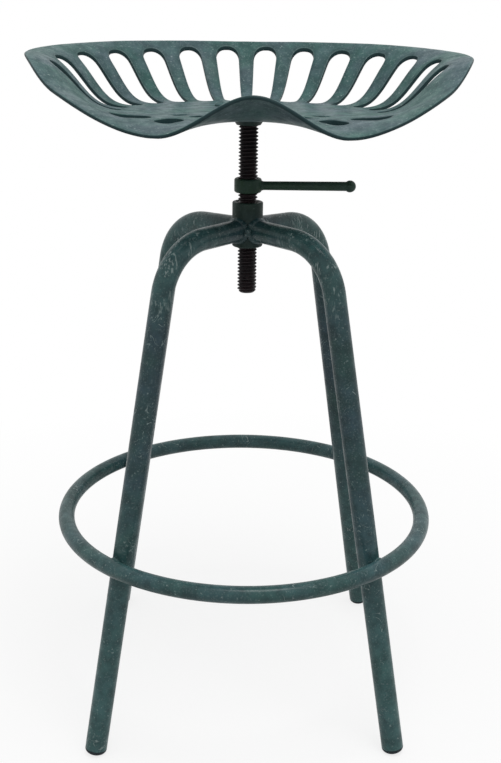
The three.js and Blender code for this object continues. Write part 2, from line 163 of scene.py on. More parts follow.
# fine pale specks, each in a cell of its own and some cells left empty
def makeSpecks():
    speck = {"wobbleScale": 2.2, "smallest": 0.35, "softFrom": 0.45, "faintest": 0.4}
    given, result = newMask("pale specks", {"Spacing": 0.004, "Speck Size": 0.3, "Share": 0.5})
    scale = calc("DIVIDE", 1.0, given["Spacing"])
    wobble = noiseAt(given["Vector"], times(scale, speck["wobbleScale"]))["Color"]
    wobble = vectorCalc("SUBTRACT", wobble, (0.5, 0.5, 0.5))[0]
    uneven = vectorCalc("MULTIPLY_ADD", wobble, given["Spacing"], given["Vector"])[0]
    cells = addNode("ShaderNodeTexVoronoi", {"Vector": uneven, "Scale": scale}).outputs
    luck = addNode("ShaderNodeSeparateColor", {0: cells["Color"]}).outputs
    radius = times(given["Speck Size"], plus(luck["Green"], speck["smallest"]))
    dot = remap(cells["Distance"], radius, times(radius, speck["softFrom"]))
    kept = calc("LESS_THAN", luck["Red"], given["Share"])
    strength = remap(luck["Blue"], 0.0, 1.0, speck["faintest"])
    return finishMask(times(dot, kept, strength), result)


# soft cloudy patches
def makeClouds():
    given, result = newMask("cloudy patches", {"Patch Size": 0.03, "Low": 0.4, "High": 0.6})
    scale = calc("DIVIDE", 1.0, given["Patch Size"])
    cloud = noiseAt(given["Vector"], scale, detail=5.0, roughness=0.6)["Fac"]
    return finishMask(remap(cloud, given["Low"], given["High"]), result)


# thin curly scratches, broken up and kept to some places
def makeScratches():
    scratch = {"detail": 1.5, "twist": 0.8, "sharpness": 0.3, "breakScale": 2.3, "breakLow": 0.47,
               "breakHigh": 0.56, "placeScale": 0.24, "bareLevel": 0.72, "coverGain": 0.4, "placeFade": 0.06}
    given, result = newMask("curly scratches", {"Curl Size": 0.012, "Line Width": 0.02, "Cover": 0.4})
    where, width = given["Vector"], given["Line Width"]
    scale = calc("DIVIDE", 1.0, given["Curl Size"])
    curls = noiseAt(where, scale, detail=scratch["detail"], distortion=scratch["twist"])["Fac"]
    offLine = calc("ABSOLUTE", minus(curls, 0.5))
    line = remap(offLine, width, times(width, scratch["sharpness"]))
    breaks = noiseAt(where, times(scale, scratch["breakScale"]))["Fac"]
    places = noiseAt(where, times(scale, scratch["placeScale"]), detail=1.0)["Fac"]
    edge = minus(scratch["bareLevel"], times(given["Cover"], scratch["coverGain"]))
    broken = remap(breaks, scratch["breakLow"], scratch["breakHigh"])
    inPlace = remap(places, edge, plus(edge, scratch["placeFade"]))
    return finishMask(times(line, broken, inPlace), result)


# paint rubbed thin along the rounded edges that a mesh marks with its "edge" attribute
def makeEdges():
    rub = {"grainScale": 260.0, "grainDetail": 3.0, "grainGain": 1.6, "low": 0.45, "high": 1.15}
    given, result = newMask("rubbed edges", {"Amount": 0.5})
    grain = noiseAt(given["Vector"], rub["grainScale"], detail=rub["grainDetail"])["Fac"]
    uneven = times(minus(grain, 0.5), rub["grainGain"])
    rubbed = remap(plus(readMark("edge"), uneven), rub["low"], rub["high"])
    return finishMask(times(rubbed, given["Amount"]), result)


# long pale strokes and chips where a tube is bent, marked by its mesh with its "bend" attribute
def makeStrokes():
    stroke = {"stretch": 0.22, "scale": 420.0, "twist": 0.4, "low": 0.55, "high": 0.62,
              "placeScale": 60.0, "placeLow": 0.5, "placeHigh": 0.58}
    given, result = newMask("strokes on bends", {"Amount": 0.5})
    drawn = stretched(given["Vector"], stroke["stretch"])
    fine = noiseAt(drawn, stroke["scale"], distortion=stroke["twist"])["Fac"]
    places = noiseAt(given["Vector"], stroke["placeScale"], detail=1.0)["Fac"]
    strokes = remap(fine, stroke["low"], stroke["high"])
    inPlace = remap(places, stroke["placeLow"], stroke["placeHigh"])
    return finishMask(times(strokes, inPlace, readMark("bend"), given["Amount"]), result)


groups = {"specks": makeSpecks(), "clouds": makeClouds(), "scratches": makeScratches(), "edges": makeEdges(),
          "strokes": makeStrokes()}


def mask(group, where, values):  # places a shared group in a material with its own values
    inputs = {"Vector": where, **values}
    return addNode("ShaderNodeGroup", inputs, node_tree=groups[group]).outputs["Mask"]


def screenColour(colour):  # a colour picked on screen, 0 to 255, made linear
    return tuple(((v / 255 + 0.055) / 1.055) ** 2.4 for v in colour) + (1.0,)


# a new material, its Object coordinates, and its settings with linear colours
def startMaterial(name, settings):
    material = bpy.data.materials.new(name)
    emptyNodes(material)
    look = {key: screenColour(value) if type(value) is tuple else value for key, value in settings.items()}
    material.diffuse_color = look["base"]
    return material, addNode("ShaderNodeTexCoord").outputs["Object"], look


def finishMaterial(look, colour, rough, height, settings):
    inputs = {"Height": height, "Strength": look["bumpStrength"], "Distance": look["bumpDepth"]}
    bump = output("ShaderNodeBump", inputs)
    inputs = {"Base Color": colour, "Roughness": rough, "Normal": bump, **settings}
    shader = addNode("ShaderNodeBsdfPrincipled", inputs)
    shader.inputs["Specular IOR Level"].default_value = look["specular"]
    addNode("ShaderNodeOutputMaterial", {0: shader.outputs[0]})


# a speckled, scratched paint; every amount comes from its dictionary
def paintMaterial(name, settings):
    material, where, look = startMaterial(name, settings)
    patches = mask("clouds", where, {
        "Patch Size": look["patchSize"], "Low": look["patchLow"], "High": look["patchHigh"]})
    mottle = mask("clouds", where, {
        "Patch Size": look["mottleSize"], "Low": look["mottleLow"], "High": look["mottleHigh"]})
    specks = mask("specks", where, {
        "Spacing": look["speckSpacing"], "Speck Size": look["speckSize"], "Share": look["speckShare"]})
    dust = mask("specks", where, {
        "Spacing": look["dustSpacing"], "Speck Size": look["dustSize"], "Share": look["dustShare"]})
    scratches = mask("scratches", where, {
        "Curl Size": look["curlSize"], "Line Width": look["lineWidth"], "Cover": look["scratchCover"]})
    rubbed = mask("edges", where, {"Amount": look["edgeAmount"]})
    strokes = mask("strokes", where, {"Amount": look["strokeAmount"]})
    paint = blendColours(patches, look["base"], look["cool"])
    low = remap(split(where)["Z"], look["palerFrom"], look["palerFull"])  # paler towards the floor and on the bends
    paler = times(calc("MAXIMUM", low, readMark("bend")), look["palerAmount"])
    paint = blendColours(paler, paint, look["paler"])
    paint = blendColours(times(mottle, look["mottleAmount"]), paint, look["dark"])
    for pale in (times(dust, look["dustAmount"]), times(specks, look["speckAmount"]),
                 times(scratches, look["scratchAmount"]), strokes):
        paint = blendColours(pale, paint, look["pale"])
    paint = blendColours(rubbed, paint, look["worn"])
    # painted shade where the mesh's wall mark is set: the seat pan's cut walls, round its slots and under its
    # rim's nose
    paint = blendColours(times(readMark("wall"), look["paintedShadeAmount"]), paint, look["dark"])
    skin = noiseAt(where, 1 / look["skinSize"], detail=look["skinDetail"])["Fac"]
    uneven = plus(mottle, skin)
    rough = remap(uneven, look["unevenLow"], look["unevenHigh"], look["roughLow"], look["roughHigh"])
    height = plus(times(skin, look["skinHeight"]), times(specks, look["speckHeight"]))
    height = minus(height, times(scratches, look["scratchDepth"]))
    coat = {"Coat Weight": look["coat"], "Coat Roughness": look["coatRoughness"]}
    finishMaterial(look, paint, rough, height, coat)
    return material


hubShadedLook = {  # the plain dark green paint of the hub and the boss, darker than the frame paint they share: partly their own thicker paint, partly painted shade under the seat and the plate; the others start from it
    "base": (36, 54, 48), "cool": (40, 58, 58), "dark": (22, 38, 34), "pale": (120, 140, 134),
    "worn": (70, 92, 86), "patchSize": 0.02, "patchLow": 0.38, "patchHigh": 0.62,
    "mottleSize": 0.008, "mottleLow": 0.36, "mottleHigh": 0.64, "mottleAmount": 0.4,
    "speckSpacing": 0.005, "speckSize": 0.18, "speckShare": 0.4, "speckAmount": 0.4,
    "dustSpacing": 0.0024, "dustSize": 0.5, "dustShare": 0.8, "dustAmount": 0.06,
    "curlSize": 0.01, "lineWidth": 0.014, "scratchCover": 0.2, "scratchAmount": 0.35,
    "edgeAmount": 0.25, "paintedShadeAmount": 0.3, "strokeAmount": 0.0,
    "paler": (68, 110, 108), "palerFrom": 0.36, "palerFull": 0.14, "palerAmount": 0.0,
    "skinSize": 0.002, "skinDetail": 3.0, "unevenLow": 0.3, "unevenHigh": 1.4,
    "roughLow": 0.42, "roughHigh": 0.6, "skinHeight": 0.6, "speckHeight": 0.5, "scratchDepth": 0.6,
    "bumpStrength": 0.2, "bumpDepth": 0.0003,
    "specular": 0.12, "coat": 0.08, "coatRoughness": 0.22,
}
seatLook = {
    **hubShadedLook,
    "base": (58, 97, 92), "cool": (76, 97, 103), "dark": (27, 51, 54), "pale": (160, 178, 176),
    "worn": (112, 134, 132), "patchSize": 0.05, "mottleSize": 0.014, "mottleAmount": 0.5,
    "speckSpacing": 0.0046, "speckSize": 0.24, "speckShare": 0.5, "speckAmount": 0.6, "dustAmount": 0.2,
    "curlSize": 0.02, "lineWidth": 0.012, "edgeAmount": 0.3, "paintedShadeAmount": 0.9,
    "skinSize": 0.004, "roughLow": 0.4, "roughHigh": 0.62, "specular": 0.14,
}
# the frame's paint is the seat's paint made darker, in part painted shade, as the frame's mostly upright sides
# take less of the light from above
frameShadedLook = {
    **seatLook,
    "base": (41, 74, 72), "cool": (51, 76, 86), "dark": (20, 40, 44), "pale": (156, 174, 172),
    "worn": (104, 126, 124), "patchSize": 0.06, "mottleAmount": 0.55, "speckAmount": 0.55,
    "dustSpacing": 0.0022, "dustAmount": 0.16,
    "curlSize": 0.016, "lineWidth": 0.016, "scratchCover": 0.42, "scratchAmount": 0.55,
    "paintedShadeAmount": 0.3, "strokeAmount": 0.75, "palerAmount": 0.65,
    "skinSize": 0.0024, "roughLow": 0.34, "roughHigh": 0.58, "bumpStrength": 0.22, "coat": 0.32,
}
nutLook = {
    **hubShadedLook,
    "base": (36, 64, 44), "cool": (42, 66, 55), "dark": (20, 36, 28), "pale": (110, 130, 122),
    "worn": (60, 82, 72), "mottleAmount": 0.3, "speckSpacing": 0.006, "speckSize": 0.16, "speckShare": 0.3,
    "dustAmount": 0.05,
}
# the handle's paint is the nut's paint made lighter: painted light, as the handle and the nut share one paint
handleLitLook = {**nutLook, "base": (50, 75, 60), "cool": (54, 76, 70), "dark": (30, 46, 38)}
plugLook = {
    **hubShadedLook,
    "base": (30, 40, 46), "cool": (36, 42, 52), "dark": (20, 28, 33), "pale": (92, 100, 104),
    "worn": (66, 76, 80), "patchSize": 0.012, "mottleSize": 0.004,
    "speckSpacing": 0.004, "speckSize": 0.16, "speckShare": 0.3, "speckAmount": 0.25,
    "dustSpacing": 0.0018, "dustAmount": 0.12, "curlSize": 0.008, "scratchCover": 0.3, "scratchAmount": 0.25,
    "edgeAmount": 0.3, "skinSize": 0.0012, "roughLow": 0.62, "roughHigh": 0.85,
    "bumpStrength": 0.3, "bumpDepth": 0.0002, "specular": 0.3, "coat": 0.0,
}
seatPaint = paintMaterial("seat paint", seatLook)
frameShadedPaint = paintMaterial("frame paint, a shaded copy of the seat paint", frameShadedLook)
hubShadedPaint = paintMaterial("hub paint with painted shade", hubShadedLook)
nutPaint = paintMaterial("nut paint", nutLook)
handleLitPaint = paintMaterial("handle paint, a lit copy of the nut paint", handleLitLook)
plugRubber = paintMaterial("plug rubber", plugLook)


# metal with a turned or rolled surface: streaks round the axis, stains and dull spots
def metalMaterial(name, settings):
    material, where, look = startMaterial(name, settings)
    streaks = mask("clouds", stretched(where, look["streaks"]), {
        "Patch Size": look["streakSize"], "Low": look["streakLow"], "High": look["high"]})
    stains = mask("clouds", where, {
        "Patch Size": look["stainSize"], "Low": look["stainLow"], "High": look["high"]})
    specks = mask("specks", where, {
        "Spacing": look["speckSpacing"], "Speck Size": look["speckSize"], "Share": look["speckShare"]})
    rubbed = mask("edges", where, {"Amount": look["edgeAmount"]})
    metal = blendColours(streaks, look["base"], look["warm"])
    metal = blendColours(times(stains, look["stainAmount"]), metal, look["dark"])
    metal = blendColours(times(specks, look["speckAmount"]), metal, look["pale"])
    metal = blendColours(rubbed, metal, look["pale"])
    uneven = plus(stains, streaks)
    rough = remap(uneven, 0.0, look["unevenHigh"], look["roughLow"], look["roughHigh"])
    height = plus(streaks, times(specks, look["speckHeight"]))
    finishMaterial(look, metal, rough, height, {"Metallic": look["metallic"]})
    return material


screwLook = {
    "base": (28, 24, 27), "warm": (44, 33, 36), "dark": (15, 14, 17), "pale": (96, 88, 92),
    "streaks": 6.0, "streakSize": 0.006, "streakLow": 0.4, "stainSize": 0.015, "stainLow": 0.45, "high": 0.62,
    "stainAmount": 0.6, "speckSpacing": 0.005, "speckSize": 0.22, "speckShare": 0.5, "speckAmount": 0.2,
    "edgeAmount": 0.12, "unevenHigh": 1.6, "roughLow": 0.38, "roughHigh": 0.6,
    "speckHeight": -0.5, "bumpStrength": 0.25, "bumpDepth": 0.0002, "metallic": 0.0, "specular": 0.3,
}
blackScrew = metalMaterial("black screw steel", screwLook)
print("materials made")


def addObject(name, data):
    added = bpy.data.objects.new(name, data)
    scene.collection.objects.link(added)
    return added


def plainMesh(name, points, faces, marks):  # marks are numbers kept on the points, by name
    mesh = bpy.data.meshes.new(name)
    mesh.from_pydata([tuple(p) for p in points], [], faces)
    for label, values in marks.items():
        mesh.attributes.new(label, "FLOAT", "POINT").data.foreach_set("value", np.asarray(values, np.float32))
    return mesh


def faceOutward(mesh):
    work = bmesh.new()
    work.from_mesh(mesh)
    bmesh.ops.recalc_face_normals(work, faces=work.faces)
    work.to_mesh(mesh)
    work.free()


# a mesh object with its place in its mesh; points are in millimetres
def makePiece(name, points, faces, material, marks):
    mesh = plainMesh(name, np.asarray(points) * mm, faces, marks)
    faceOutward(mesh)
    mesh.materials.append(material)
    mesh.shade_smooth()
    return addObject(name, mesh)


def bridge(rows):  # faces between closed rows of as many points
    return [[first[i], first[(i + 1) % len(first)], second[(i + 1) % len(first)], second[i]]
            for first, second in zip(rows, rows[1:]) for i in range(len(first))]


# hands a finished piece to its body and its CAD nodes
def settle(piece, body, slotName, *nodeNames, sharpAngle=35):
    piece.data.set_sharp_from_angle(angle=math.radians(sharpAngle))
    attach(piece, body)
    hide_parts(*nodeNames)


edgeMarks = {"flatStart": 0.15, "least": 0.3, "gain": 0.7}  # where flats start, and how a rounding is marked


# rounds the corners of a closed (radius, height, rounding) section, keeps its flats flat, and adds edge marks
def roundSection(corners, steps):
    result = []
    for i, (radius, height, rounding) in enumerate(corners):
        here = Vector((radius, height))
        before = (Vector(corners[i - 1][:2]) - here).normalized()
        after = (Vector(corners[(i + 1) % len(corners)][:2]) - here).normalized()
        half = before.angle(after) / 2
        trim = rounding / math.tan(half)
        start, end = here + before * trim, here + after * trim
        centre = here + (before + after).normalized() * (rounding / math.sin(half))
        result.append((*(start + before * edgeMarks["flatStart"]), 0.0))
        for k in range(steps + 1):
            share = k / steps
            point = start.lerp(end, share)
            point = centre + (point - centre).normalized() * rounding
            result.append((*point, math.sin(math.pi * share) * edgeMarks["gain"] + edgeMarks["least"]))
        result.append((*(end + after * edgeMarks["flatStart"]), 0.0))
    return result


# turns a (radius, height, mark) profile round Z into points, faces and edge marks; shape can change a radius
def turned(profile, segments, loop=False, shape=None):
    points, marks, rings, faces = [], [], [], []
    for radius, height, mark in profile:
        if radius < 1e-6:
            rings.append([len(points)] * segments)
            points.append((0, 0, height))
            marks.append(mark)
            continue
        rings.append(list(range(len(points), len(points) + segments)))
        for k in range(segments):
            angle = 2 * math.pi * k / segments
            r = shape(angle, radius, height) if shape else radius
            points.append((r * math.cos(angle), r * math.sin(angle), height))
            marks.append(mark)
    pairs = list(zip(rings, rings[1:])) + ([(rings[-1], rings[0])] if loop else [])
    for low, high in pairs:
        for k in range(segments):
            n = (k + 1) % segments
            corners = [low[k], low[n], high[n], high[k]]
            face = [v for i, v in enumerate(corners) if v not in corners[:i]]
            if len(face) > 2:
                faces.append(face)
    return np.array(points), faces, {"edge": marks}


# a tree is run on a source mesh or curve, and its result kept as a plain mesh, still in millimetres
def runTree(name, tree, values, source=None):
    holder = addObject(name + " source", source or bpy.data.meshes.new(name))
    modifier = holder.modifiers.new("nodes", "NODES")
    modifier.node_group = tree
    for item in tree.interface.items_tree:
        if item.item_type == "SOCKET" and item.in_out == "INPUT" and item.name in values:
            modifier[item.identifier] = values[item.name]
    evaluated = holder.evaluated_get(bpy.context.evaluated_depsgraph_get())
    mesh = bpy.data.meshes.new_from_object(evaluated)
    holder.modifiers.remove(modifier)
    bpy.data.objects.remove(holder)
    mesh.name = name
    return mesh


def growPiece(name, tree, sizes, material, source=None):  # the same, as a piece in metres
    mesh = runTree(name, tree, {**sizes, "Material": material}, source)
    mesh.transform(Matrix.Scale(mm, 4))
    return addObject(name, mesh)


def pathCurve(name, points, closed):  # an open or closed row of points as a curve
    curve = bpy.data.curves.new(name, "CURVE")
    curve.dimensions = "3D"
    spline = curve.splines.new("POLY")
    spline.points.add(len(points) - 1)
    spline.points.foreach_set("co", [v for p in points for v in (*p, 1.0)])
    spline.use_cyclic_u = closed
    return curve


# a Geometry Nodes tree with a geometry input, a named input for each size, and a material
def newTree(name, sizes):
    inputs = {"Geometry": ("Geometry", None), **sizeInputs(sizes), "Material": ("Material", None)}
    return newGroup(name, "GeometryNodeTree", inputs, {"Geometry": "Geometry"})


def finishTree(given, result, geometry):  # plain geometry, smooth, with its material
    plain = output("GeometryNodeRealizeInstances", {0: geometry})
    smooth = output("GeometryNodeSetShadeSmooth", {0: plain})
    finished = addNode("GeometryNodeSetMaterial", {"Geometry": smooth, "Material": given["Material"]})
    link(finished.outputs[0], result[0])
    return bench["tree"]


def keepMark(geometry, name, value):  # keeps a number on each point
    inputs = {"Geometry": geometry, "Name": name, "Value": value}
    return output("GeometryNodeStoreNamedAttribute", inputs)


def moved(geometry, shift=(0.0, 0.0, 0.0), turn=(0.0, 0.0, 0.0)):
    inputs = {"Geometry": geometry, "Translation": shift, "Rotation": turn}
    return output("GeometryNodeTransform", inputs)


def circle(steps, radius):
    inputs = {"Resolution": steps, "Radius": radius}
    return output("GeometryNodeCurvePrimitiveCircle", inputs)


def sweep(path, sides, radius, scale=1.0):  # a round bar along a path
    inputs = {"Curve": path, "Profile Curve": circle(sides, radius), "Scale": scale, "Fill Caps": True}
    return addNode("GeometryNodeCurveToMesh", inputs).outputs["Mesh"]


# the seat pan, in millimetres and degrees; the rim is a row of (angle, height) from the lobes to the back,
# and a wall is its power, the share of the way where its lip starts, and the lip's power
pan = {
    "halfWidth": 241.0, "rearDepth": 183.0, "frontDepth": 190.0, "rearRoundness": 1.9, "frontRoundness": 2.17,
    "thickness": 4.3, "floor": 712.5, "levelShare": 0.473, "lipSharpness": 6.0,
    "backWall": (2.46, 0.914, 0.585), "sideWall": (4.55, 0.828, -0.29), "frontWall": (2.0, 1.19, 1.0),
    "rim": [(-118, 703), (-90, 743), (-62, 703), (-30, 740.5), (-15, 767.5), (0, 772), (45, 779), (90, 779),
            (135, 779)],
    "rimPoints": 384, "spacing": 3.9, "ringSpacing": 0.87, "margin": 1.9, "rounding": 1.0, "unevenness": 0.3,
    "waves": [(0.016, 1.0, 3.1), (0.06, 0.4, 7.7)],  # how fine, how strong, and a seed
}
# the slots: a fan round the back, then the lobes' rows of (angle, start, end, width, turned-down edge)
slots = {
    "perSide": 7, "pitch": 14.06, "centre": -26.6, "backInner": 125.4, "sideInner": 138.0, "innerWidth": 20.0,
    "outerWidth": 29.3, "backBand": 9.1, "sideBand": 26.3, "rounding": 0.85,
    "lobes": [(124, 0.38, 0.48, 13.0, 0.0), (124, 0.61, 0.825, 26.0, 5.0),
              (139.5, 0.4, 0.505, 13.0, 0.0), (139.5, 0.595, 0.765, 22.0, 5.0)],
    "points": 80, "cornerSteps": 10, "lipWall": 2.4, "lipRounding": 0.6,
    "boltSpacing": 60.0, "boltHole": 4.3, "boltPoints": 24,
}
panMarks = {  # how strongly the pan's edges are rubbed, and how much painted shade lies on its cut walls, round its slots and along the lower half of its rim's nose
    "rimEdge": 0.35, "slotEdge": 0.55, "slotPaintedShade": 0.45, "rounding": 1.0, "slotMiddle": 0.5,
    "noseMiddle": 0.2,
}


def rimReach(angle):  # from the seat's centre to the rim, seen from above
    rear = np.sin(angle) >= 0
    depth = np.where(rear, pan["rearDepth"], pan["frontDepth"])
    roundness = np.where(rear, pan["rearRoundness"], pan["frontRoundness"])
    across = np.abs(np.cos(angle) / pan["halfWidth"]) ** roundness
    along = np.abs(np.sin(angle) / depth) ** roundness
    return (across + along) ** (-1 / roundness)


def rimHeight(angle):  # a smooth curve through the rim's stations, angle from -90 to 90 degrees
    stations = np.radians([s[0] for s in pan["rim"]])
    heights = np.array([s[1] for s in pan["rim"]], float)
    slopes = np.gradient(heights, edge_order=1)
    slopes[1:-1] = (heights[2:] - heights[:-2]) / (stations[2:] - stations[:-2])
    i = np.clip(np.searchsorted(stations, angle) - 1, 1, len(stations) - 2)
    width = stations[i + 1] - stations[i]
    t = (angle - stations[i]) / width
    pull = (t ** 3 - 2 * t ** 2 + t) * width * slopes[i] + (t ** 3 - t ** 2) * width * slopes[i + 1]
    return heights[i] + (heights[i + 1] - heights[i]) * (3 * t ** 2 - 2 * t ** 3) + pull


def rise(share, wall):  # how far the wall has risen at a share of the way to the rim
    power, lipShare, lipPower = wall
    sharp = pan["lipSharpness"]
    run = np.maximum(share - pan["levelShare"], 0) / (1 - pan["levelShare"])
    lip = (lipShare - pan["levelShare"]) / (1 - pan["levelShare"])
    return run ** power / (1 + (run / lip) ** sharp) ** ((power - lipPower) / sharp)


def panMid(x, y):  # height of the middle of the sheet
    angle = np.arctan2(y, np.abs(x))
    share = np.hypot(x, y) / rimReach(angle)
    weight = np.sin(angle) ** 2
    wall = [np.where(angle > 0, b, f) * weight + s * (1 - weight)
            for b, f, s in zip(pan["backWall"], pan["frontWall"], pan["sideWall"])]
    return pan["floor"] + (rimHeight(angle) - pan["floor"]) * rise(share, wall) / rise(1.0, wall)


def panNormal(x, y):
    step = 0.5
    across = panMid(x + step, y) - panMid(x - step, y)
    along = panMid(x, y + step) - panMid(x, y - step)
    length = np.sqrt(across ** 2 + along ** 2 + (2 * step) ** 2)
    return -across / length, -along / length, 2 * step / length


def unevenness(x, y):  # the slight waves of a pressed sheet
    heights = []
    for a, b in zip(np.ravel(x), np.ravel(y)):
        waves = [share * noise.noise(Vector((a * size, b * size, seed))) for size, share, seed in pan["waves"]]
        heights.append(sum(waves) * pan["unevenness"])
    return np.reshape(heights, np.shape(x))


def skinHeight(x, y, side):  # the top skin (side 1) or the underside (side -1) above a point
    half = side * pan["thickness"] / 2
    px, py = x, y
    for _ in range(6):
        nx, ny, nz = panNormal(px, py)
        px, py = x - half * nx, y - half * ny
    return panMid(px, py) + half * panNormal(px, py)[2] + unevenness(x, y)


def fanReach(angle):  # from the fan's centre to the rim
    reach = pan["rearDepth"]
    for _ in range(20):
        x, y = reach * math.sin(angle), slots["centre"] + reach * math.cos(angle)
        reach *= float(rimReach(np.arctan2(y, x))) / math.hypot(x, y)
    return reach


def slotRow():  # one row a slot: angle, inner reach, outer reach, inner width, outer width
    rows = []
    for i in range(slots["perSide"]):
        angle = math.radians((i + 0.5) * slots["pitch"])
        sideways = math.sin(min(angle, math.pi / 2)) ** 2
        inner = slots["backInner"] + (slots["sideInner"] - slots["backInner"]) * sideways
        band = slots["backBand"] + (slots["sideBand"] - slots["backBand"]) * sideways
        rows.append((angle, inner, fanReach(angle) - band, slots["innerWidth"], slots["outerWidth"]))
    for degrees, start, end, width, lip in slots["lobes"]:
        angle = math.radians(degrees)
        rows.append((angle, start * fanReach(angle), end * fanReach(angle), width, width))
    return rows + [(-angle, *sizes) for angle, *sizes in rows]


# the outlines of all the slots: a rounded trapezoid each, read from a row of points and turned to its angle
def makeSlotTree(sizes):
    given, result = newTree("slot outlines", sizes)
    start = addNode("GeometryNodeRepeatInput")
    end = addNode("GeometryNodeRepeatOutput")
    start.pair_with_output(end)
    link(given["Slot Count"], start.inputs["Iterations"])

    def slotValue(name):
        kept = output("GeometryNodeInputNamedAttribute", {"Name": name}, data_type="FLOAT")
        inputs = {"Geometry": given["Geometry"], "Value": kept, "Index": start.outputs["Iteration"]}
        return output("GeometryNodeSampleIndex", inputs, data_type="FLOAT")

    angle, inner, outer = slotValue("angle"), slotValue("inner"), slotValue("outer")
    innerWidth, outerWidth = slotValue("innerWidth"), slotValue("outerWidth")
    shape = {"Height": minus(outer, inner), "Bottom Width": innerWidth, "Top Width": outerWidth,
             "Offset": 0.0}
    outline = output("GeometryNodeCurvePrimitiveQuadrilateral", shape, mode="TRAPEZOID")
    isOuter = calc("GREATER_THAN", split(pointPlace())["Y"], 0.0)
    width = plus(innerWidth, times(minus(outerWidth, innerWidth), isOuter))
    radius = times(width, 0.5, given["Rounding"])
    corners = {"Curve": outline, "Count": given["Corner Steps"], "Radius": radius}
    outline = output("GeometryNodeFilletCurve", corners, mode="POLY")
    evenly = {"Curve": outline, "Count": given["Outline Points"]}
    outline = output("GeometryNodeResampleCurve", evenly)
    middle = times(plus(inner, outer), 0.5)
    x = times(middle, calc("SINE", angle))
    y = plus(given["Fan Centre"], times(middle, calc("COSINE", angle)))
    outline = moved(outline, vector(x, y, 0.0), vector(0.0, 0.0, times(angle, -1.0)))
    wires = output("GeometryNodeCurveToMesh", {"Curve": outline})
    joined = addNode("GeometryNodeJoinGeometry", {0: start.outputs["Geometry"]})
    link(wires, joined.inputs[0])
    link(joined.outputs[0], end.inputs["Geometry"])
    return finishTree(given, result, end.outputs["Geometry"])


def slotOutlines():
    rows = slotRow()
    columns = dict(zip(("angle", "inner", "outer", "innerWidth", "outerWidth"), zip(*rows)))
    mesh = plainMesh("slot rows", [(i, 0, 0) for i in range(len(rows))], [], columns)
    sizes = {"Slot Count": len(rows), "Fan Centre": slots["centre"], "Rounding": slots["rounding"],
             "Corner Steps": slots["cornerSteps"], "Outline Points": slots["points"]}
    wires = runTree("slot outlines", makeSlotTree(sizes), sizes, mesh)
    flat = np.empty(len(wires.vertices) * 3, np.float32)
    wires.vertices.foreach_get("co", flat)
    flat = flat.reshape(len(rows), slots["points"], 3)[::-1, :, :2]  # the last one comes first
    outlines = list(flat.astype(float))
    turn = np.linspace(0, 2 * math.pi, slots["boltPoints"], endpoint=False)
    hole = slots["boltHole"] * np.stack([np.cos(turn), np.sin(turn)], 1)
    return outlines + [hole + np.array(corner) for corner in squareCorners(slots["boltSpacing"])]


def slotLips():  # how far each slot's edge is turned down; it is at the longer slots in the lobes
    oneSide = [0.0] * slots["perSide"] + [lip for *sizes, lip in slots["lobes"]]
    return oneSide * 2 + [0.0] * 4


def squareCorners(size):
    half = size / 2
    return [(-half, -half), (half, -half), (half, half), (-half, half)]


def loopNormals(loop):  # outward, for a loop that runs anticlockwise
    along = np.roll(loop, -1, 0) - np.roll(loop, 1, 0)
    outward = np.stack([along[:, 1], -along[:, 0]], 1)
    return outward / np.linalg.norm(outward, axis=1, keepdims=True)


def outsideOf(loop, points):  # how far points lie outside a convex anticlockwise loop
    along = np.roll(loop, -1, 0) - loop
    outward = np.stack([along[:, 1], -along[:, 0]], 1) / np.linalg.norm(along, axis=1, keepdims=True)
    return np.max(points @ outward.T - np.sum(outward * loop, 1), axis=1)


def rimLine():  # where the sheet's middle starts to round off at the rim, anticlockwise from the front
    angles = np.linspace(-math.pi / 2, 1.5 * math.pi, pan["rimPoints"], endpoint=False)
    reach = rimReach(angles) - pan["thickness"] / 2
    return angles, reach, reach * np.cos(angles), reach * np.sin(angles)


# evenly spread points on rings of the rim's form, away from the holes
def spreadPoints(angles, reach, rim, outlines, widened):
    points = [np.zeros((1, 2))]
    rings = int(np.mean(reach) / (pan["spacing"] * pan["ringSpacing"]))
    whole, rimDistance = 2 * math.pi, np.hypot(rim[:, 0], rim[:, 1])
    for k in range(1, rings):
        share = k / rings
        count = max(6, int(whole * np.mean(reach) * share / pan["spacing"]))
        turn = np.linspace(0, whole, count, endpoint=False) + 0.5 * k
        ringReach = np.interp(turn % whole, angles + math.pi / 2, rimDistance, period=whole) * share
        points.append(np.stack([ringReach * np.sin(turn), -ringReach * np.cos(turn)], 1))
    points = np.concatenate(points)
    for loop, extra in zip(outlines, widened):
        points = points[outsideOf(loop, points) > extra + pan["margin"]]
    return points


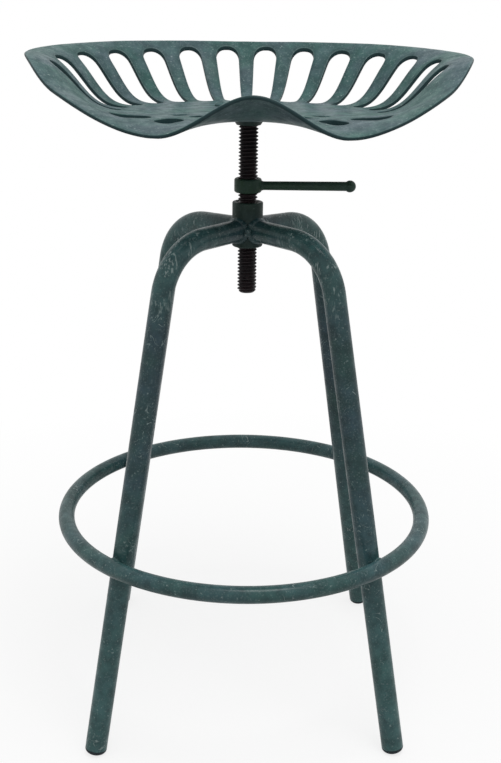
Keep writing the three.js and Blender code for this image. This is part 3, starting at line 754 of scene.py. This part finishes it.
# one skin of the pan: its rim and its holes as loops, filled with evenly spread points
def panSkin(side, outlines, lips):
    half = side * pan["thickness"] / 2
    angles, reach, mx, my = rimLine()
    nx, ny, nz = panNormal(mx, my)
    rim = np.stack([mx + half * nx, my + half * ny], 1)
    widened = [slots["lipWall"] if lip and side < 0 else pan["rounding"] for lip in lips]
    loops = [rim] + [loop + loopNormals(loop) * extra for loop, extra in zip(outlines, widened)]
    starts = np.cumsum([0] + [len(loop) for loop in loops])
    flat = np.concatenate([*loops, spreadPoints(angles, reach, rim, outlines, widened)])
    edges = [(a + i, a + (i + 1) % (b - a)) for a, b in zip(starts, starts[1:]) for i in range(b - a)]
    _, _, faces, sources, _, _ = delaunay_2d_cdt([Vector(p) for p in flat], edges, [], 1, 1e-5)
    back = [source[0] for source in sources]
    loopOf = np.full(len(flat), -1)
    for i, (a, b) in enumerate(zip(starts, starts[1:])):
        loopOf[a:b] = i
    kept = []
    for face in faces:
        face = [back[v] for v in face]
        hole = loopOf[face[0]]
        if hole > 0 and all(loopOf[v] == hole for v in face):
            if outsideOf(loops[hole], flat[face].mean(0)[None, :])[0] < 0:
                continue
        kept.append(face)
    heights = skinHeight(flat[:, 0], flat[:, 1], side)
    heights[:len(rim)] = panMid(mx, my) + half * nz + unevenness(mx, my)
    marks = np.where(loopOf > 0, panMarks["slotEdge"], 0.0)
    marks[:len(rim)] = panMarks["rimEdge"]
    return np.column_stack([flat, heights]), kept, starts, marks


def makeSeatPan():
    outlines = slotOutlines()
    lips = slotLips()
    top, topFaces, starts, topMarks = panSkin(1, outlines, lips)
    under, underFaces, _, underMarks = panSkin(-1, outlines, lips)
    underStart = len(top)
    shade = np.zeros(len(top))  # painted shade along the slots
    shade[starts[1]:starts[-1]] = panMarks["slotPaintedShade"]
    points, edgeMarks, paintedShadeMarks = [top, under], [topMarks, underMarks], [shade, np.zeros(len(under))]
    faces = topFaces + [[v + underStart for v in face] for face in underFaces]
    total = len(top) + len(under)

    def addRow(row, edgeMark, paintedShadeMark):
        nonlocal total
        points.append(row)
        edgeMarks.append(np.full(len(row), edgeMark))
        paintedShadeMarks.append(np.full(len(row), paintedShadeMark))
        total += len(row)
        return list(range(total - len(row), total))

    turns = [math.radians(v) for v in (60, 30, 0)]
    for outline, lip, a, b in zip(outlines, lips, starts[1:], starts[2:]):
        rows = [list(range(a, b))]
        for side in (1, -1):
            for turn in turns[::side]:
                flat = outline + loopNormals(outline) * pan["rounding"] * (1 - math.cos(turn))
                depth = pan["rounding"] * (1 - math.sin(turn))
                height = skinHeight(flat[:, 0], flat[:, 1], side) - side * depth - (lip if side < 0 else 0)
                edge = panMarks["rounding"] if turn else panMarks["slotMiddle"]
                # the cut wall itself takes full painted shade
                rows.append(addRow(np.column_stack([flat, height]), edge, 0.0 if turn else 1.0))
        for inset in (slots["lipRounding"], 0.0) if lip else ():  # back up outside the turned-down edge
            flat = outline + loopNormals(outline) * (slots["lipWall"] - inset)
            height = skinHeight(flat[:, 0], flat[:, 1], -1) - lip + slots["lipRounding"] - inset
            rows.append(addRow(np.column_stack([flat, height]), panMarks["slotMiddle"], 0.0))
        rows.append(list(range(underStart + a, underStart + b)))
        faces += bridge(rows)

    # the rounded nose of the rim, square to the sheet, with painted shade on its lower half
    angles, reach, mx, my = rimLine()
    middle = np.column_stack([mx, my, panMid(mx, my) + unevenness(mx, my)])
    normal = np.column_stack(panNormal(mx, my))
    outward = np.column_stack([np.cos(angles), np.sin(angles), np.zeros(len(angles))])
    outward -= normal * np.sum(outward * normal, 1, keepdims=True)
    outward /= np.linalg.norm(outward, axis=1, keepdims=True)
    rows = [list(range(0, starts[1]))]
    for degrees in range(70, -71, -20):
        turn = math.radians(degrees)
        row = middle + (normal * math.sin(turn) + outward * math.cos(turn)) * pan["thickness"] / 2
        upper = degrees > 40
        # upper rows: rubbed-edge mark, a pale line that is partly wear and partly a painted highlight; lower
        # rows: painted shade
        rows.append(addRow(row, panMarks["rounding" if upper else "noseMiddle"], 0.0 if upper else 1.0))
    rows.append(list(range(underStart, underStart + starts[1])))
    faces += bridge(rows)
    low, high = (np.array(corner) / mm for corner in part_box("seat_pan"))
    marks = {"edge": np.concatenate(edgeMarks), "wall": np.concatenate(paintedShadeMarks)}
    piece = makePiece("slotted_seat_pan", np.clip(np.concatenate(points), low, high), faces, seatPaint, marks)
    settle(piece, "seat", "seat_paint", "seat_pan", sharpAngle=60)


makeSeatPan()
print("seat pan pressed and slotted")


# the lead screw's thread as one sheared sheet wound up the bar, with a point at each end
def makeThreadTree(sizes):
    given, result = newTree("lead screw thread", sizes)
    bottom, top = given["Bottom"], given["Top"]
    inLength = calc("DIVIDE", minus(top, bottom), given["Pitch"])
    turns = calc("CEIL", plus(inLength, 2.0))
    sheet = {"Size X": 1.0, "Size Y": 1.0, "Vertices Y": plus(given["Samples"], 1.0),
             "Vertices X": plus(times(turns, given["Segments"]), 1.0)}
    grid = output("GeometryNodeMeshGrid", sheet)
    place = split(pointPlace())
    turn = times(plus(place["X"], 0.5), turns)
    within = plus(place["Y"], 0.5)
    angle = times(turn, 2 * math.pi)
    along = minus(plus(turn, within), 2.0)
    height = plus(bottom, times(along, given["Pitch"]))
    height = calc("MAXIMUM", calc("MINIMUM", height, top), bottom)
    ridge = minus(1.0, calc("ABSOLUTE", minus(times(within, 2.0), 1.0)))
    ridge = minus(times(ridge, given["Steepness"]), given["Root Flat"])
    ridge = output("ShaderNodeClamp", {0: ridge})
    radius = plus(given["Root Radius"], times(ridge, given["Depth"]))
    fromEnd = calc("MINIMUM", minus(height, bottom), minus(top, height))
    radius = calc("MINIMUM", radius, plus(given["End Radius"], fromEnd))
    x = times(radius, calc("COSINE", angle))
    y = times(radius, calc("SINE", angle))
    wound = {"Geometry": grid, "Position": vector(x, y, height)}
    wound = output("GeometryNodeSetPosition", wound)
    joined = addNode("GeometryNodeJoinGeometry", {0: keepMark(wound, "edge", ridge)})
    for level in (bottom, top):
        disc = {"Vertices": given["Segments"], "Radius": given["End Radius"]}
        disc = output("GeometryNodeMeshCircle", disc, fill_type="NGON")
        link(moved(disc, vector(0.0, 0.0, level)), joined.inputs[0])
    merged = {"Geometry": joined.outputs[0], "Distance": given["Merge Distance"]}
    merged = output("GeometryNodeMergeByDistance", merged)
    return finishTree(given, result, merged)


leadScrew = {
    "Bottom": 507.0, "Top": 705.7, "Pitch": 4.0, "Root Radius": 8.75, "Depth": 2.25, "End Radius": 8.2,
    "Steepness": 1.3, "Root Flat": 0.15, "Segments": 48, "Samples": 9, "Merge Distance": 0.01,
}
screw = growPiece("threaded_lead_screw", makeThreadTree(leadScrew), leadScrew, blackScrew)
settle(screw, "seat", "black_screw", "lead_screw", sharpAngle=50)
print("lead screw threaded")

# a leg's route in its own upright plane: out of the hub, one bend, straight to its plug
leg = {
    "diameter": 25.0, "wall": 1.5, "hubHeight": 581.0, "droop": 2.0, "footReach": 245.0, "bendShare": 0.497,
    "bendSteps": 28, "wornPastBend": 45.0, "sides": 48,
    "wornFrom": {"height": 490.0, "reach": 45.0}, "wornTo": {"height": 540.0, "reach": 80.0},
    "azimuths": {"front_left": -135, "front_right": -45, "rear_right": 45, "rear_left": 135},
}
ring = {"radius": 218.0, "tube": 19.0, "height": 231.5, "steps": 192, "sides": 40}
hub = {"radius": 17.5, "bottom": 561.0, "top": 612.0, "leadIn": 2.6}
plug = {"flange": 6.0, "dome": 7.5, "stem": 18.0, "broken": 0.5, "steps": 16, "segments": 64}
fit = 0.3  # air between neighbouring pieces
cutter = {"height": 585.0, "length": 120.0, "sides": 96}  # cuts the hub's room out of a leg


# a tube along a path, with the hub's room cut out of it and its bend marked
def makeTubeTree(sizes):
    given, result = newTree("bent tube", sizes)
    outer = times(given["Diameter"], 0.5)
    solids = [sweep(given["Geometry"], given["Sides"], radius)
              for radius in (outer, minus(outer, given["Wall"]))]
    room = {"Vertices": cutter["sides"], "Radius": given["Hub Room"], "Depth": cutter["length"]}
    room = output("GeometryNodeMeshCylinder", room)
    cut = addNode("GeometryNodeMeshBoolean", operation="DIFFERENCE", solver="EXACT")
    link(solids[0], cut.inputs["Mesh 1"])
    link(solids[1], cut.inputs["Mesh 2"])
    link(moved(room, (0.0, 0.0, cutter["height"])), cut.inputs["Mesh 2"])
    placed = moved(cut.outputs[0], turn=vector(0.0, 0.0, given["Azimuth"]))
    spot = split(pointPlace())
    reach = vectorCalc("LENGTH", vector(spot["X"], spot["Y"], 0.0))["Value"]
    start, end = leg["wornFrom"], leg["wornTo"]
    bent = times(remap(spot["Z"], start["height"], end["height"]),
                 remap(reach, start["reach"], end["reach"]))
    return finishTree(given, result, keepMark(placed, "bend", bent))


footIn = leg["footReach"] - ring["radius"]
touching = (leg["diameter"] + ring["tube"]) / 2 + fit
lean = math.atan(footIn / ring["height"]) + math.asin(touching / math.hypot(footIn, ring["height"]))
droop = math.radians(leg["droop"])
legOut = Vector((math.cos(droop), 0, -math.sin(droop)))
legDown = Vector((math.sin(lean), 0, -math.cos(lean)))


def legRoute():
    start, foot = Vector((0, 0, leg["hubHeight"])), Vector((leg["footReach"], 0, 0))
    toFoot = foot - start
    corner = (toFoot.x * legDown.z - toFoot.z * legDown.x) / (legOut.x * legDown.z - legOut.z * legDown.x)
    trim = (corner - hub["radius"]) * leg["bendShare"]
    turn = legOut.angle(legDown)
    radius = trim / math.tan(turn / 2)
    inward = Vector((legOut.z, 0, -legOut.x))
    centre = start + legOut * (corner - trim) + inward * radius
    points = [start, start + legOut * (corner - trim) / 2]
    for i in range(leg["bendSteps"] + 1):
        points.append(centre + Matrix.Rotation(turn * i / leg["bendSteps"], 3, "Y") @ -inward * radius)
    return points + [points[-1] + legDown * leg["wornPastBend"], foot - legDown * (plug["flange"] + fit)]


tubeSizes = {"Diameter": leg["diameter"], "Wall": leg["wall"], "Hub Room": hub["radius"] + fit,
             "Azimuth": 0.0, "Sides": leg["sides"]}
tubeTree = makeTubeTree(tubeSizes)
for name, azimuth in leg["azimuths"].items():
    route = pathCurve("leg route", legRoute(), closed=False)
    tubeSizes["Azimuth"] = math.radians(azimuth)
    tube = growPiece("leg_tube_" + name, tubeTree, tubeSizes, frameShadedPaint, route)
    settle(tube, "frame", "frame_paint", "leg_" + name)
print("legs bent")


# a bar bent into a closed ring
def makeRingTree(sizes):
    given, result = newTree("foot ring", sizes)
    path = circle(given["Steps"], given["Radius"])
    bar = sweep(path, given["Sides"], times(given["Bar Diameter"], 0.5))
    return finishTree(given, result, moved(bar, vector(0.0, 0.0, given["Height"])))


ringSizes = {"Radius": ring["radius"], "Bar Diameter": ring["tube"], "Height": ring["height"],
             "Steps": ring["steps"], "Sides": ring["sides"]}
footRing = growPiece("round_foot_ring", makeRingTree(ringSizes), ringSizes, frameShadedPaint)
settle(footRing, "frame", "frame_paint", "foot_ring")
print("foot ring made")


# a weld bead along a closed path, with the small waves that each dab leaves
def makeBeadTree(sizes):
    given, result = newTree("weld bead", sizes)
    path = {"Curve": given["Geometry"], "Count": given["Steps"]}
    path = output("GeometryNodeResampleCurve", path)
    along = addNode("GeometryNodeSplineParameter").outputs["Factor"]
    wave = calc("ABSOLUTE", calc("SINE", times(along, given["Ripples"], math.pi)))
    spot = vectorCalc("ADD", pointPlace(), vector(given["Seed"], 0.0, 0.0))[0]
    lumps = noiseAt(spot, given["Lump Scale"])["Fac"]
    swell = times(minus(lumps, 0.5), times(given["Lumps"], 2.0))
    scale = plus(plus(1.0, swell), times(wave, given["Ripple Depth"]))
    bead = sweep(path, given["Sides"], times(given["Bead Diameter"], 0.5), scale)
    marked = keepMark(bead, "edge", times(wave, given["Wear"]))
    return finishTree(given, result, marked)


# the hub's beads, which run over the legs and sink into the hub, and fill the corners between the legs
hubBead = {"sunk": 1.6, "valley": 1.6, "fill": 4.6, "fillPower": 3, "pathPoints": 240}
hubBeadSizes = {"Bead Diameter": 8.4, "Ripples": 40.0, "Ripple Depth": 0.04, "Lumps": 0.14,
                "Lump Scale": 0.22, "Wear": 0.3, "Seed": 9.0, "Steps": 360, "Sides": 20}
# the ring's beads, an oval round the spot where ring and leg touch
ringBead = {"acrossRing": 6.6, "alongLeg": 5.4, "pathPoints": 64}
ringBeadSizes = {**hubBeadSizes, "Bead Diameter": 5.2, "Ripples": 13.0, "Ripple Depth": 0.12, "Lumps": 0.25,
                 "Steps": 120, "Sides": 12}


def hubBeadPath(side):
    root = hub["radius"] - hubBead["sunk"]
    middle = leg["hubHeight"] - root * math.tan(droop)
    radius = leg["diameter"] / 2 - hubBead["sunk"]
    points = []
    for i in range(hubBead["pathPoints"]):
        azimuth = 2 * math.pi * i / hubBead["pathPoints"]
        fromLegs = [azimuth - math.radians(degrees) + math.pi for degrees in leg["azimuths"].values()]
        nearest = min(abs(angle % (2 * math.pi) - math.pi) for angle in fromLegs)
        reach = root + hubBead["fill"] * (nearest / (math.pi / 4)) ** hubBead["fillPower"]
        height = math.sqrt(max(radius ** 2 - (reach * math.sin(nearest)) ** 2, 0) + hubBead["valley"] ** 2)
        points.append((reach * math.cos(azimuth), reach * math.sin(azimuth), middle + side * height))
    return points


def ringBeadPath(azimuth):
    outward = Vector((math.cos(lean), 0, math.sin(lean)))
    touch = Vector((ring["radius"], 0, ring["height"])) - outward * (ring["tube"] / 2 + fit / 2)
    points = []
    for i in range(ringBead["pathPoints"]):
        turn = 2 * math.pi * i / ringBead["pathPoints"]
        across = Vector((0, ringBead["acrossRing"] * math.cos(turn), 0))
        point = touch + across + legDown * ringBead["alongLeg"] * math.sin(turn)
        points.append(Matrix.Rotation(math.radians(azimuth), 3, "Z") @ point)
    return points


beadTree = makeBeadTree(hubBeadSizes)
for name, side in (("upper", 1), ("lower", -1)):
    sizes = {**hubBeadSizes, "Seed": hubBeadSizes["Seed"] * side}
    path = pathCurve("hub bead", hubBeadPath(side), closed=True)
    bead = growPiece("hub_bead_" + name, beadTree, sizes, frameShadedPaint, path)
    settle(bead, "frame", "frame_paint", "hub_weld_" + name, sharpAngle=60)
for name, azimuth in leg["azimuths"].items():
    sizes = {**ringBeadSizes, "Seed": float(azimuth)}
    path = pathCurve("ring bead", ringBeadPath(azimuth), closed=True)
    bead = growPiece("ring_bead_" + name, beadTree, sizes, frameShadedPaint, path)
    settle(bead, "frame", "frame_paint", "ring_weld_" + name, sharpAngle=60)
print("weld beads laid")

# sleeves with a bore: sections as (radius, height, rounding) corners, up the outside and down the bore
bore = 11.3
nut = {"radius": 15.5, "bottom": 622.5, "top": 638.5}
boss = {"neck": 13.5, "foot": 19.0, "bottom": 697.25, "top": 705.75}
hubSection = [(bore, hub["bottom"], 0.4), (hub["radius"], hub["bottom"], 2.2),
              (hub["radius"], hub["top"], 1.4), (bore + hub["leadIn"], hub["top"], 0.5),
              (bore, hub["top"] - hub["leadIn"], 0.4)]
nutSection = [(bore, nut["bottom"], 0.4), (nut["radius"], nut["bottom"], 2.4),
              (nut["radius"], nut["top"], 2.4), (bore, nut["top"], 0.6)]
bossSection = [(bore, boss["bottom"], 0.4), (boss["neck"], boss["bottom"], 1.0),
               (boss["foot"], boss["top"], 0.4), (bore, boss["top"], 0.3)]


def turnSleeve(name, section, steps, material):
    points, faces, marks = turned(roundSection(section, steps), 96, loop=True)
    return makePiece(name, points, faces, material, marks)


settle(turnSleeve("hub_tube", hubSection, 5, hubShadedPaint), "frame", "frame_paint", "hub_sleeve")
settle(turnSleeve("lock_nut_collar", nutSection, 8, nutPaint), "nut_carrier", "nut_paint", "lock_nut")
settle(turnSleeve("conical_boss", bossSection, 5, hubShadedPaint), "seat_carrier", "frame_paint", "screw_boss")

# the handle: a neck that flows into the nut, a bar that thickens slightly, and a ball on its end
handle = {
    "height": 630.0, "segments": 48, "inNut": 3.1, "neckStart": 0.4, "neck": 6.5, "neckLength": 3.5,
    "neckSteps": 8, "neckWear": 0.2, "root": 4.9, "tip": 5.25, "barSteps": 24, "swell": 0.8, "barInBall": 3.0,
    "ballReach": 115.5, "ballRadius": 6.75, "ballSteps": 24, "pocket": 2.6, "pocketAir": 0.05, "lipAir": 0.15,
    "lipWear": 0.4,
}


def turnAlongX(name, profile):  # a turned piece laid from upright to along X, at the handle's height
    points, faces, marks = turned(profile, handle["segments"])
    points = np.column_stack([points[:, 2], points[:, 1], handle["height"] - points[:, 0]])
    return makePiece(name, points, faces, handleLitPaint, marks)


def barProfile():
    root, tip, neck = handle["root"], handle["tip"], handle["neck"]
    inner = nut["radius"] - handle["inNut"]
    neckStart = nut["radius"] - handle["neckStart"]
    neckEnd = nut["radius"] + handle["neckLength"]
    barEnd = handle["ballReach"] - handle["barInBall"]
    profile = [(0.0, inner, 0.0), (neck, inner, 0.0), (neck, neckStart, 0.0)]
    for i in range(1, handle["neckSteps"] + 1):
        turn = math.pi / 2 * i / handle["neckSteps"]
        radius = root + (neck - root) * (1 - math.sin(turn))
        profile.append((radius, neckStart + (neckEnd - neckStart) * (1 - math.cos(turn)), handle["neckWear"]))
    for i in range(1, handle["barSteps"] + 1):
        share = i / handle["barSteps"]
        radius = root + (tip - root) * share ** handle["swell"]
        profile.append((radius, neckEnd + (barEnd - neckEnd) * share, 0.0))
    return profile + [(0.0, barEnd, 0.0)]


def ballProfile():
    radius, tip, reach = handle["ballRadius"], handle["tip"], handle["ballReach"]
    lip = math.asin((tip + handle["lipAir"]) / radius)
    pocket = reach - handle["pocket"]
    profile = [(0.0, pocket, 0.0), (tip + handle["pocketAir"], pocket, 0.0)]
    for i in range(handle["ballSteps"]):
        turn = lip + (math.pi - lip) * i / handle["ballSteps"]
        wear = handle["lipWear"] if i < 2 else 0.0
        profile.append((radius * math.sin(turn), reach - radius * math.cos(turn), wear))
    return profile + [(0.0, reach + radius, 0.0)]


settle(turnAlongX("lock_handle_bar", barProfile()), "nut_handle", "nut_paint", "lock_handle")
settle(turnAlongX("handle_ball_turned", ballProfile()), "nut_handle", "nut_paint", "handle_ball")


# plugs: a dome under each leg, leant with it and worn level with the floor
def plugProfile():
    radius, flange, broken = leg["diameter"] / 2, plug["flange"], plug["broken"]
    profile = [(0.0, flange - plug["dome"], 0.0)]
    for i in range(1, plug["steps"]):
        turn = math.pi / 2 * i / plug["steps"]
        profile.append((radius * math.sin(turn), flange - plug["dome"] * math.cos(turn), 0.0))
    stem, top = radius - leg["wall"] - fit, flange + plug["stem"]
    return profile + [(radius, flange - broken, 0.4), (radius - 0.3 * broken, flange - 0.3 * broken, 0.8),
                      (radius - broken, flange, 0.4), (stem, flange, 0.0), (stem, top, 0.0), (0.0, top, 0.0)]


points, faces, marks = turned(plugProfile(), plug["segments"])
leant = points @ np.array(Matrix.Rotation(-lean, 3, "Y").transposed()) + np.array([leg["footReach"], 0, 0])
leant[:, 2] = np.maximum(leant[:, 2], 0)
for name, azimuth in leg["azimuths"].items():
    placed = leant @ np.array(Matrix.Rotation(math.radians(azimuth), 3, "Z").transposed())
    piece = makePiece("rubber_plug_" + name, placed, faces, plugRubber, marks)
    settle(piece, "frame", "plug_rubber", "foot_plug_" + name)

# the plate under the pan: a square with round corners and broken edges
plate = {"size": 92.0, "corner": 12.0, "cornerSteps": 12, "thickness": 4.0, "bottom": 706.05, "bevel": 0.6,
         "wear": 0.8}


def makePlate():
    half = plate["size"] / 2 - plate["corner"]
    outline = []
    for quarter, corner in enumerate(((half, half), (-half, half), (-half, -half), (half, -half))):
        for i in range(plate["cornerSteps"] + 1):
            turn = math.pi / 2 * (quarter + i / plate["cornerSteps"])
            outline.append(np.array(corner) + plate["corner"] * np.array([math.cos(turn), math.sin(turn)]))
    outline = np.array(outline)
    rows = []
    for side, turns in ((-1, (90, 60, 30, 0)), (1, (0, 30, 60, 90))):
        for turn in np.radians(turns):
            inset = plate["bevel"] * (1 - math.cos(turn))
            depth = plate["bevel"] * (1 - math.sin(turn))
            height = plate["bottom"] + (depth if side < 0 else plate["thickness"] - depth)
            inner = outline - loopNormals(outline) * inset
            rows.append(np.column_stack([inner, np.full(len(outline), height)]))
    count = len(outline)
    numbers = [list(range(r * count, (r + 1) * count)) for r in range(len(rows))]
    faces = bridge(numbers) + [numbers[0][::-1], numbers[-1]]
    marks = {"edge": [plate["wear"]] * (len(rows) * count)}
    return makePiece("seat_mounting_plate", np.concatenate(rows), faces, frameShadedPaint, marks)


settle(makePlate(), "seat", "frame_paint", "mounting_plate")
print("turned pieces, plugs and plate made")


# domed bolts through the pan and the plate: one stamp, set at four corners and turned at random
def makeCornerTree(sizes):
    given, result = newTree("four corners", sizes)
    corners = {"Size X": given["Spacing"], "Size Y": given["Spacing"], "Vertices X": 2, "Vertices Y": 2}
    points = output("GeometryNodeMeshGrid", corners)
    chance = addNode("FunctionNodeRandomValue", {"Seed": given["Seed"]}, data_type="FLOAT").outputs[1]
    turn = vector(0.0, 0.0, times(chance, given["Turn"]))
    stamps = {"Points": points, "Instance": given["Geometry"], "Rotation": turn}
    stamps = output("GeometryNodeInstanceOnPoints", stamps)
    return finishTree(given, result, stamps)


bolt = {
    "radius": 4.0, "root": 3.4, "end": 706.05, "threadStart": 0.3, "threadPitch": 1.25, "segments": 36,
    "headRadius": 8.0, "headHeight": 4.0, "headBottom": 714.95, "headEdge": 0.4, "domeShare": 0.78,
    "domeSteps": 12, "socketRadius": 2.9, "socketDepth": 2.2, "socketPoint": 0.6, "socketBevel": 0.3,
    "socketFlats": 0.9,
}


def boltProfile():
    radius, root, head = bolt["radius"], bolt["root"], bolt["headBottom"]
    profile = [(0.0, bolt["end"], 0.0), (root, bolt["end"], 0.4)]
    level = bolt["end"] + bolt["threadStart"]
    while level < pan["floor"] - pan["thickness"] / 2 - bolt["threadPitch"]:
        profile += [(root, level, 0.0), (radius, level + bolt["threadPitch"] / 2, 0.6)]
        level += bolt["threadPitch"]
    profile += [(radius, level, 0.0), (radius, head, 0.0), (bolt["headRadius"] - 0.3, head, 0.4)]
    dome = math.pi / 2 * bolt["domeShare"]
    for i in range(bolt["domeSteps"] + 1):
        turn = dome * i / bolt["domeSteps"]
        bulge = bolt["headEdge"] + (bolt["headHeight"] - bolt["headEdge"]) * math.sin(turn) / math.sin(dome)
        profile.append((bolt["headRadius"] * math.cos(turn), head + bulge, 0.5 if i < 3 else 0.0))
    socket, bevel, top = bolt["socketRadius"], bolt["socketBevel"], head + bolt["headHeight"]
    base = top - bolt["socketDepth"]
    return profile + [(socket + bevel, top, 0.4), (socket, top - bevel, 0.6), (socket, base, 0.0),
                      (0.0, base - bolt["socketPoint"], 0.0)]


def socketShape(angle, radius, height):  # a six-sided socket in the head
    if radius == bolt["socketRadius"] and height > bolt["headBottom"]:
        return radius * bolt["socketFlats"] / math.cos((angle + math.pi / 6) % (math.pi / 3) - math.pi / 6)
    return radius


cornerSizes = {"Spacing": slots["boltSpacing"], "Turn": 1.0, "Seed": 3}
stamp = plainMesh("bolt", *turned(boltProfile(), bolt["segments"], shape=socketShape))
bolts = growPiece("seat_bolts", makeCornerTree(cornerSizes), cornerSizes, seatPaint, stamp)
faceOutward(bolts.data)
settle(bolts, "seat", "seat_paint", *["seat_bolt_" + str(i) for i in range(1, 5)])
print("bolts set")


# camera, from the foot ring's ellipse and the four feet
view = {"place": (0.0, -1.2671, 0.8288), "pitch": 18.85, "yaw": 0.266, "roll": 0.777, "orbit": -1.38,
        "lens": 52.789, "nearest": 0.05}
pitch, yaw, roll = (math.radians(view[key]) for key in ("pitch", "yaw", "roll"))
forward = Vector((math.sin(yaw) * math.cos(pitch), math.cos(yaw) * math.cos(pitch), -math.sin(pitch)))
right = Vector((math.cos(yaw), -math.sin(yaw), 0))
up = right.cross(forward)
imageRight = right * math.cos(roll) + up * math.sin(roll)
imageUp = -right * math.sin(roll) + up * math.cos(roll)
axes = Matrix((imageRight, imageUp, -forward)).transposed().to_4x4()
orbit = Matrix.Rotation(math.radians(view["orbit"]), 4, "Z")
camera = addObject("camera", bpy.data.cameras.new("camera"))
camera.data.lens = view["lens"]
camera.data.clip_start = view["nearest"]
camera.matrix_world = orbit @ Matrix.Translation(view["place"]) @ axes
scene.camera = camera


def seenShare():  # 1 for what the camera sees, itself, mirrored or through glass
    path = addNode("ShaderNodeLightPath").outputs
    seen = calc("MAXIMUM", path["Is Camera Ray"], path["Is Glossy Ray"])
    return calc("MAXIMUM", seen, path["Is Transmission Ray"])


# a soft studio: white to the eye and in reflections, brighter from above for the lighting itself
studio = {
    "white": (1.0, 1.0, 1.0, 1.0), "above": 0.85, "level": 0.26, "below": 0.03, "fullAbove": 0.8,
    "fullBelow": -0.3,
    "keyPower": 15.0, "keySize": 0.8, "keyPlace": (0.25, -0.5, 2.4), "keyAim": (0, 0, 0.55),
}
scene.world = bpy.data.worlds.new("studio")
emptyNodes(scene.world)
direction = split(addNode("ShaderNodeTexCoord").outputs["Generated"])["Z"]
upper = remap(direction, 0.0, studio["fullAbove"], studio["level"], studio["above"])
lower = remap(direction, studio["fullBelow"], 0.0, studio["below"], studio["level"])
strength = plus(times(upper, calc("GREATER_THAN", direction, 0.0)),
                times(lower, calc("LESS_THAN", direction, 0.0)))
soft = addNode("ShaderNodeBackground", {"Color": studio["white"], "Strength": strength})
white = addNode("ShaderNodeBackground", {"Color": studio["white"], "Strength": 1.0})
mixed = addNode("ShaderNodeMixShader", {0: seenShare(), 1: soft.outputs[0], 2: white.outputs[0]})
addNode("ShaderNodeOutputWorld", {0: mixed.outputs[0]})

keyLamp = addObject("key softbox", bpy.data.lights.new("key softbox", "AREA"))
keyLamp.data.energy = studio["keyPower"]
keyLamp.data.size = studio["keySize"]
keyLamp.location = studio["keyPlace"]
keyLamp.rotation_euler = (Vector(studio["keyAim"]) - keyLamp.location).to_track_quat("-Z", "Y").to_euler()

# a pale floor: white to the eye further out, with the stool's soft shadow near its feet
floor = {
    "half": 14.0, "shade": (0.38, 0.38, 0.38, 1.0), "seenShade": (0.97, 0.97, 0.97, 1.0), "shadowReach": 0.35,
    "shadowEnd": 1.0, "shadowShare": 0.22,
}
material = bpy.data.materials.new("pale floor")
emptyNodes(material)
seen = seenShare()
away = vectorCalc("LENGTH", addNode("ShaderNodeTexCoord").outputs["Object"])["Value"]
showShadow = remap(away, floor["shadowReach"], floor["shadowEnd"], floor["shadowShare"], 0.0)
whiteShare = times(seen, minus(1.0, showShadow))
shade = blendColours(seen, floor["shade"], floor["seenShade"])
matt = addNode("ShaderNodeBsdfDiffuse", {"Color": shade})
glow = addNode("ShaderNodeEmission", {"Color": studio["white"], "Strength": 1.0})
mixed = addNode("ShaderNodeMixShader", {0: whiteShare, 1: matt.outputs[0], 2: glow.outputs[0]})
addNode("ShaderNodeOutputMaterial", {0: mixed.outputs[0]})
corners = [(x, y, 0) for x, y in squareCorners(2 * floor["half"])]
ground = addObject("pale_floor", plainMesh("pale_floor", corners, [(0, 1, 2, 3)], {}))
ground.data.materials.append(material)

scene.view_settings.view_transform = "Standard"
print("camera, lights and floor set")
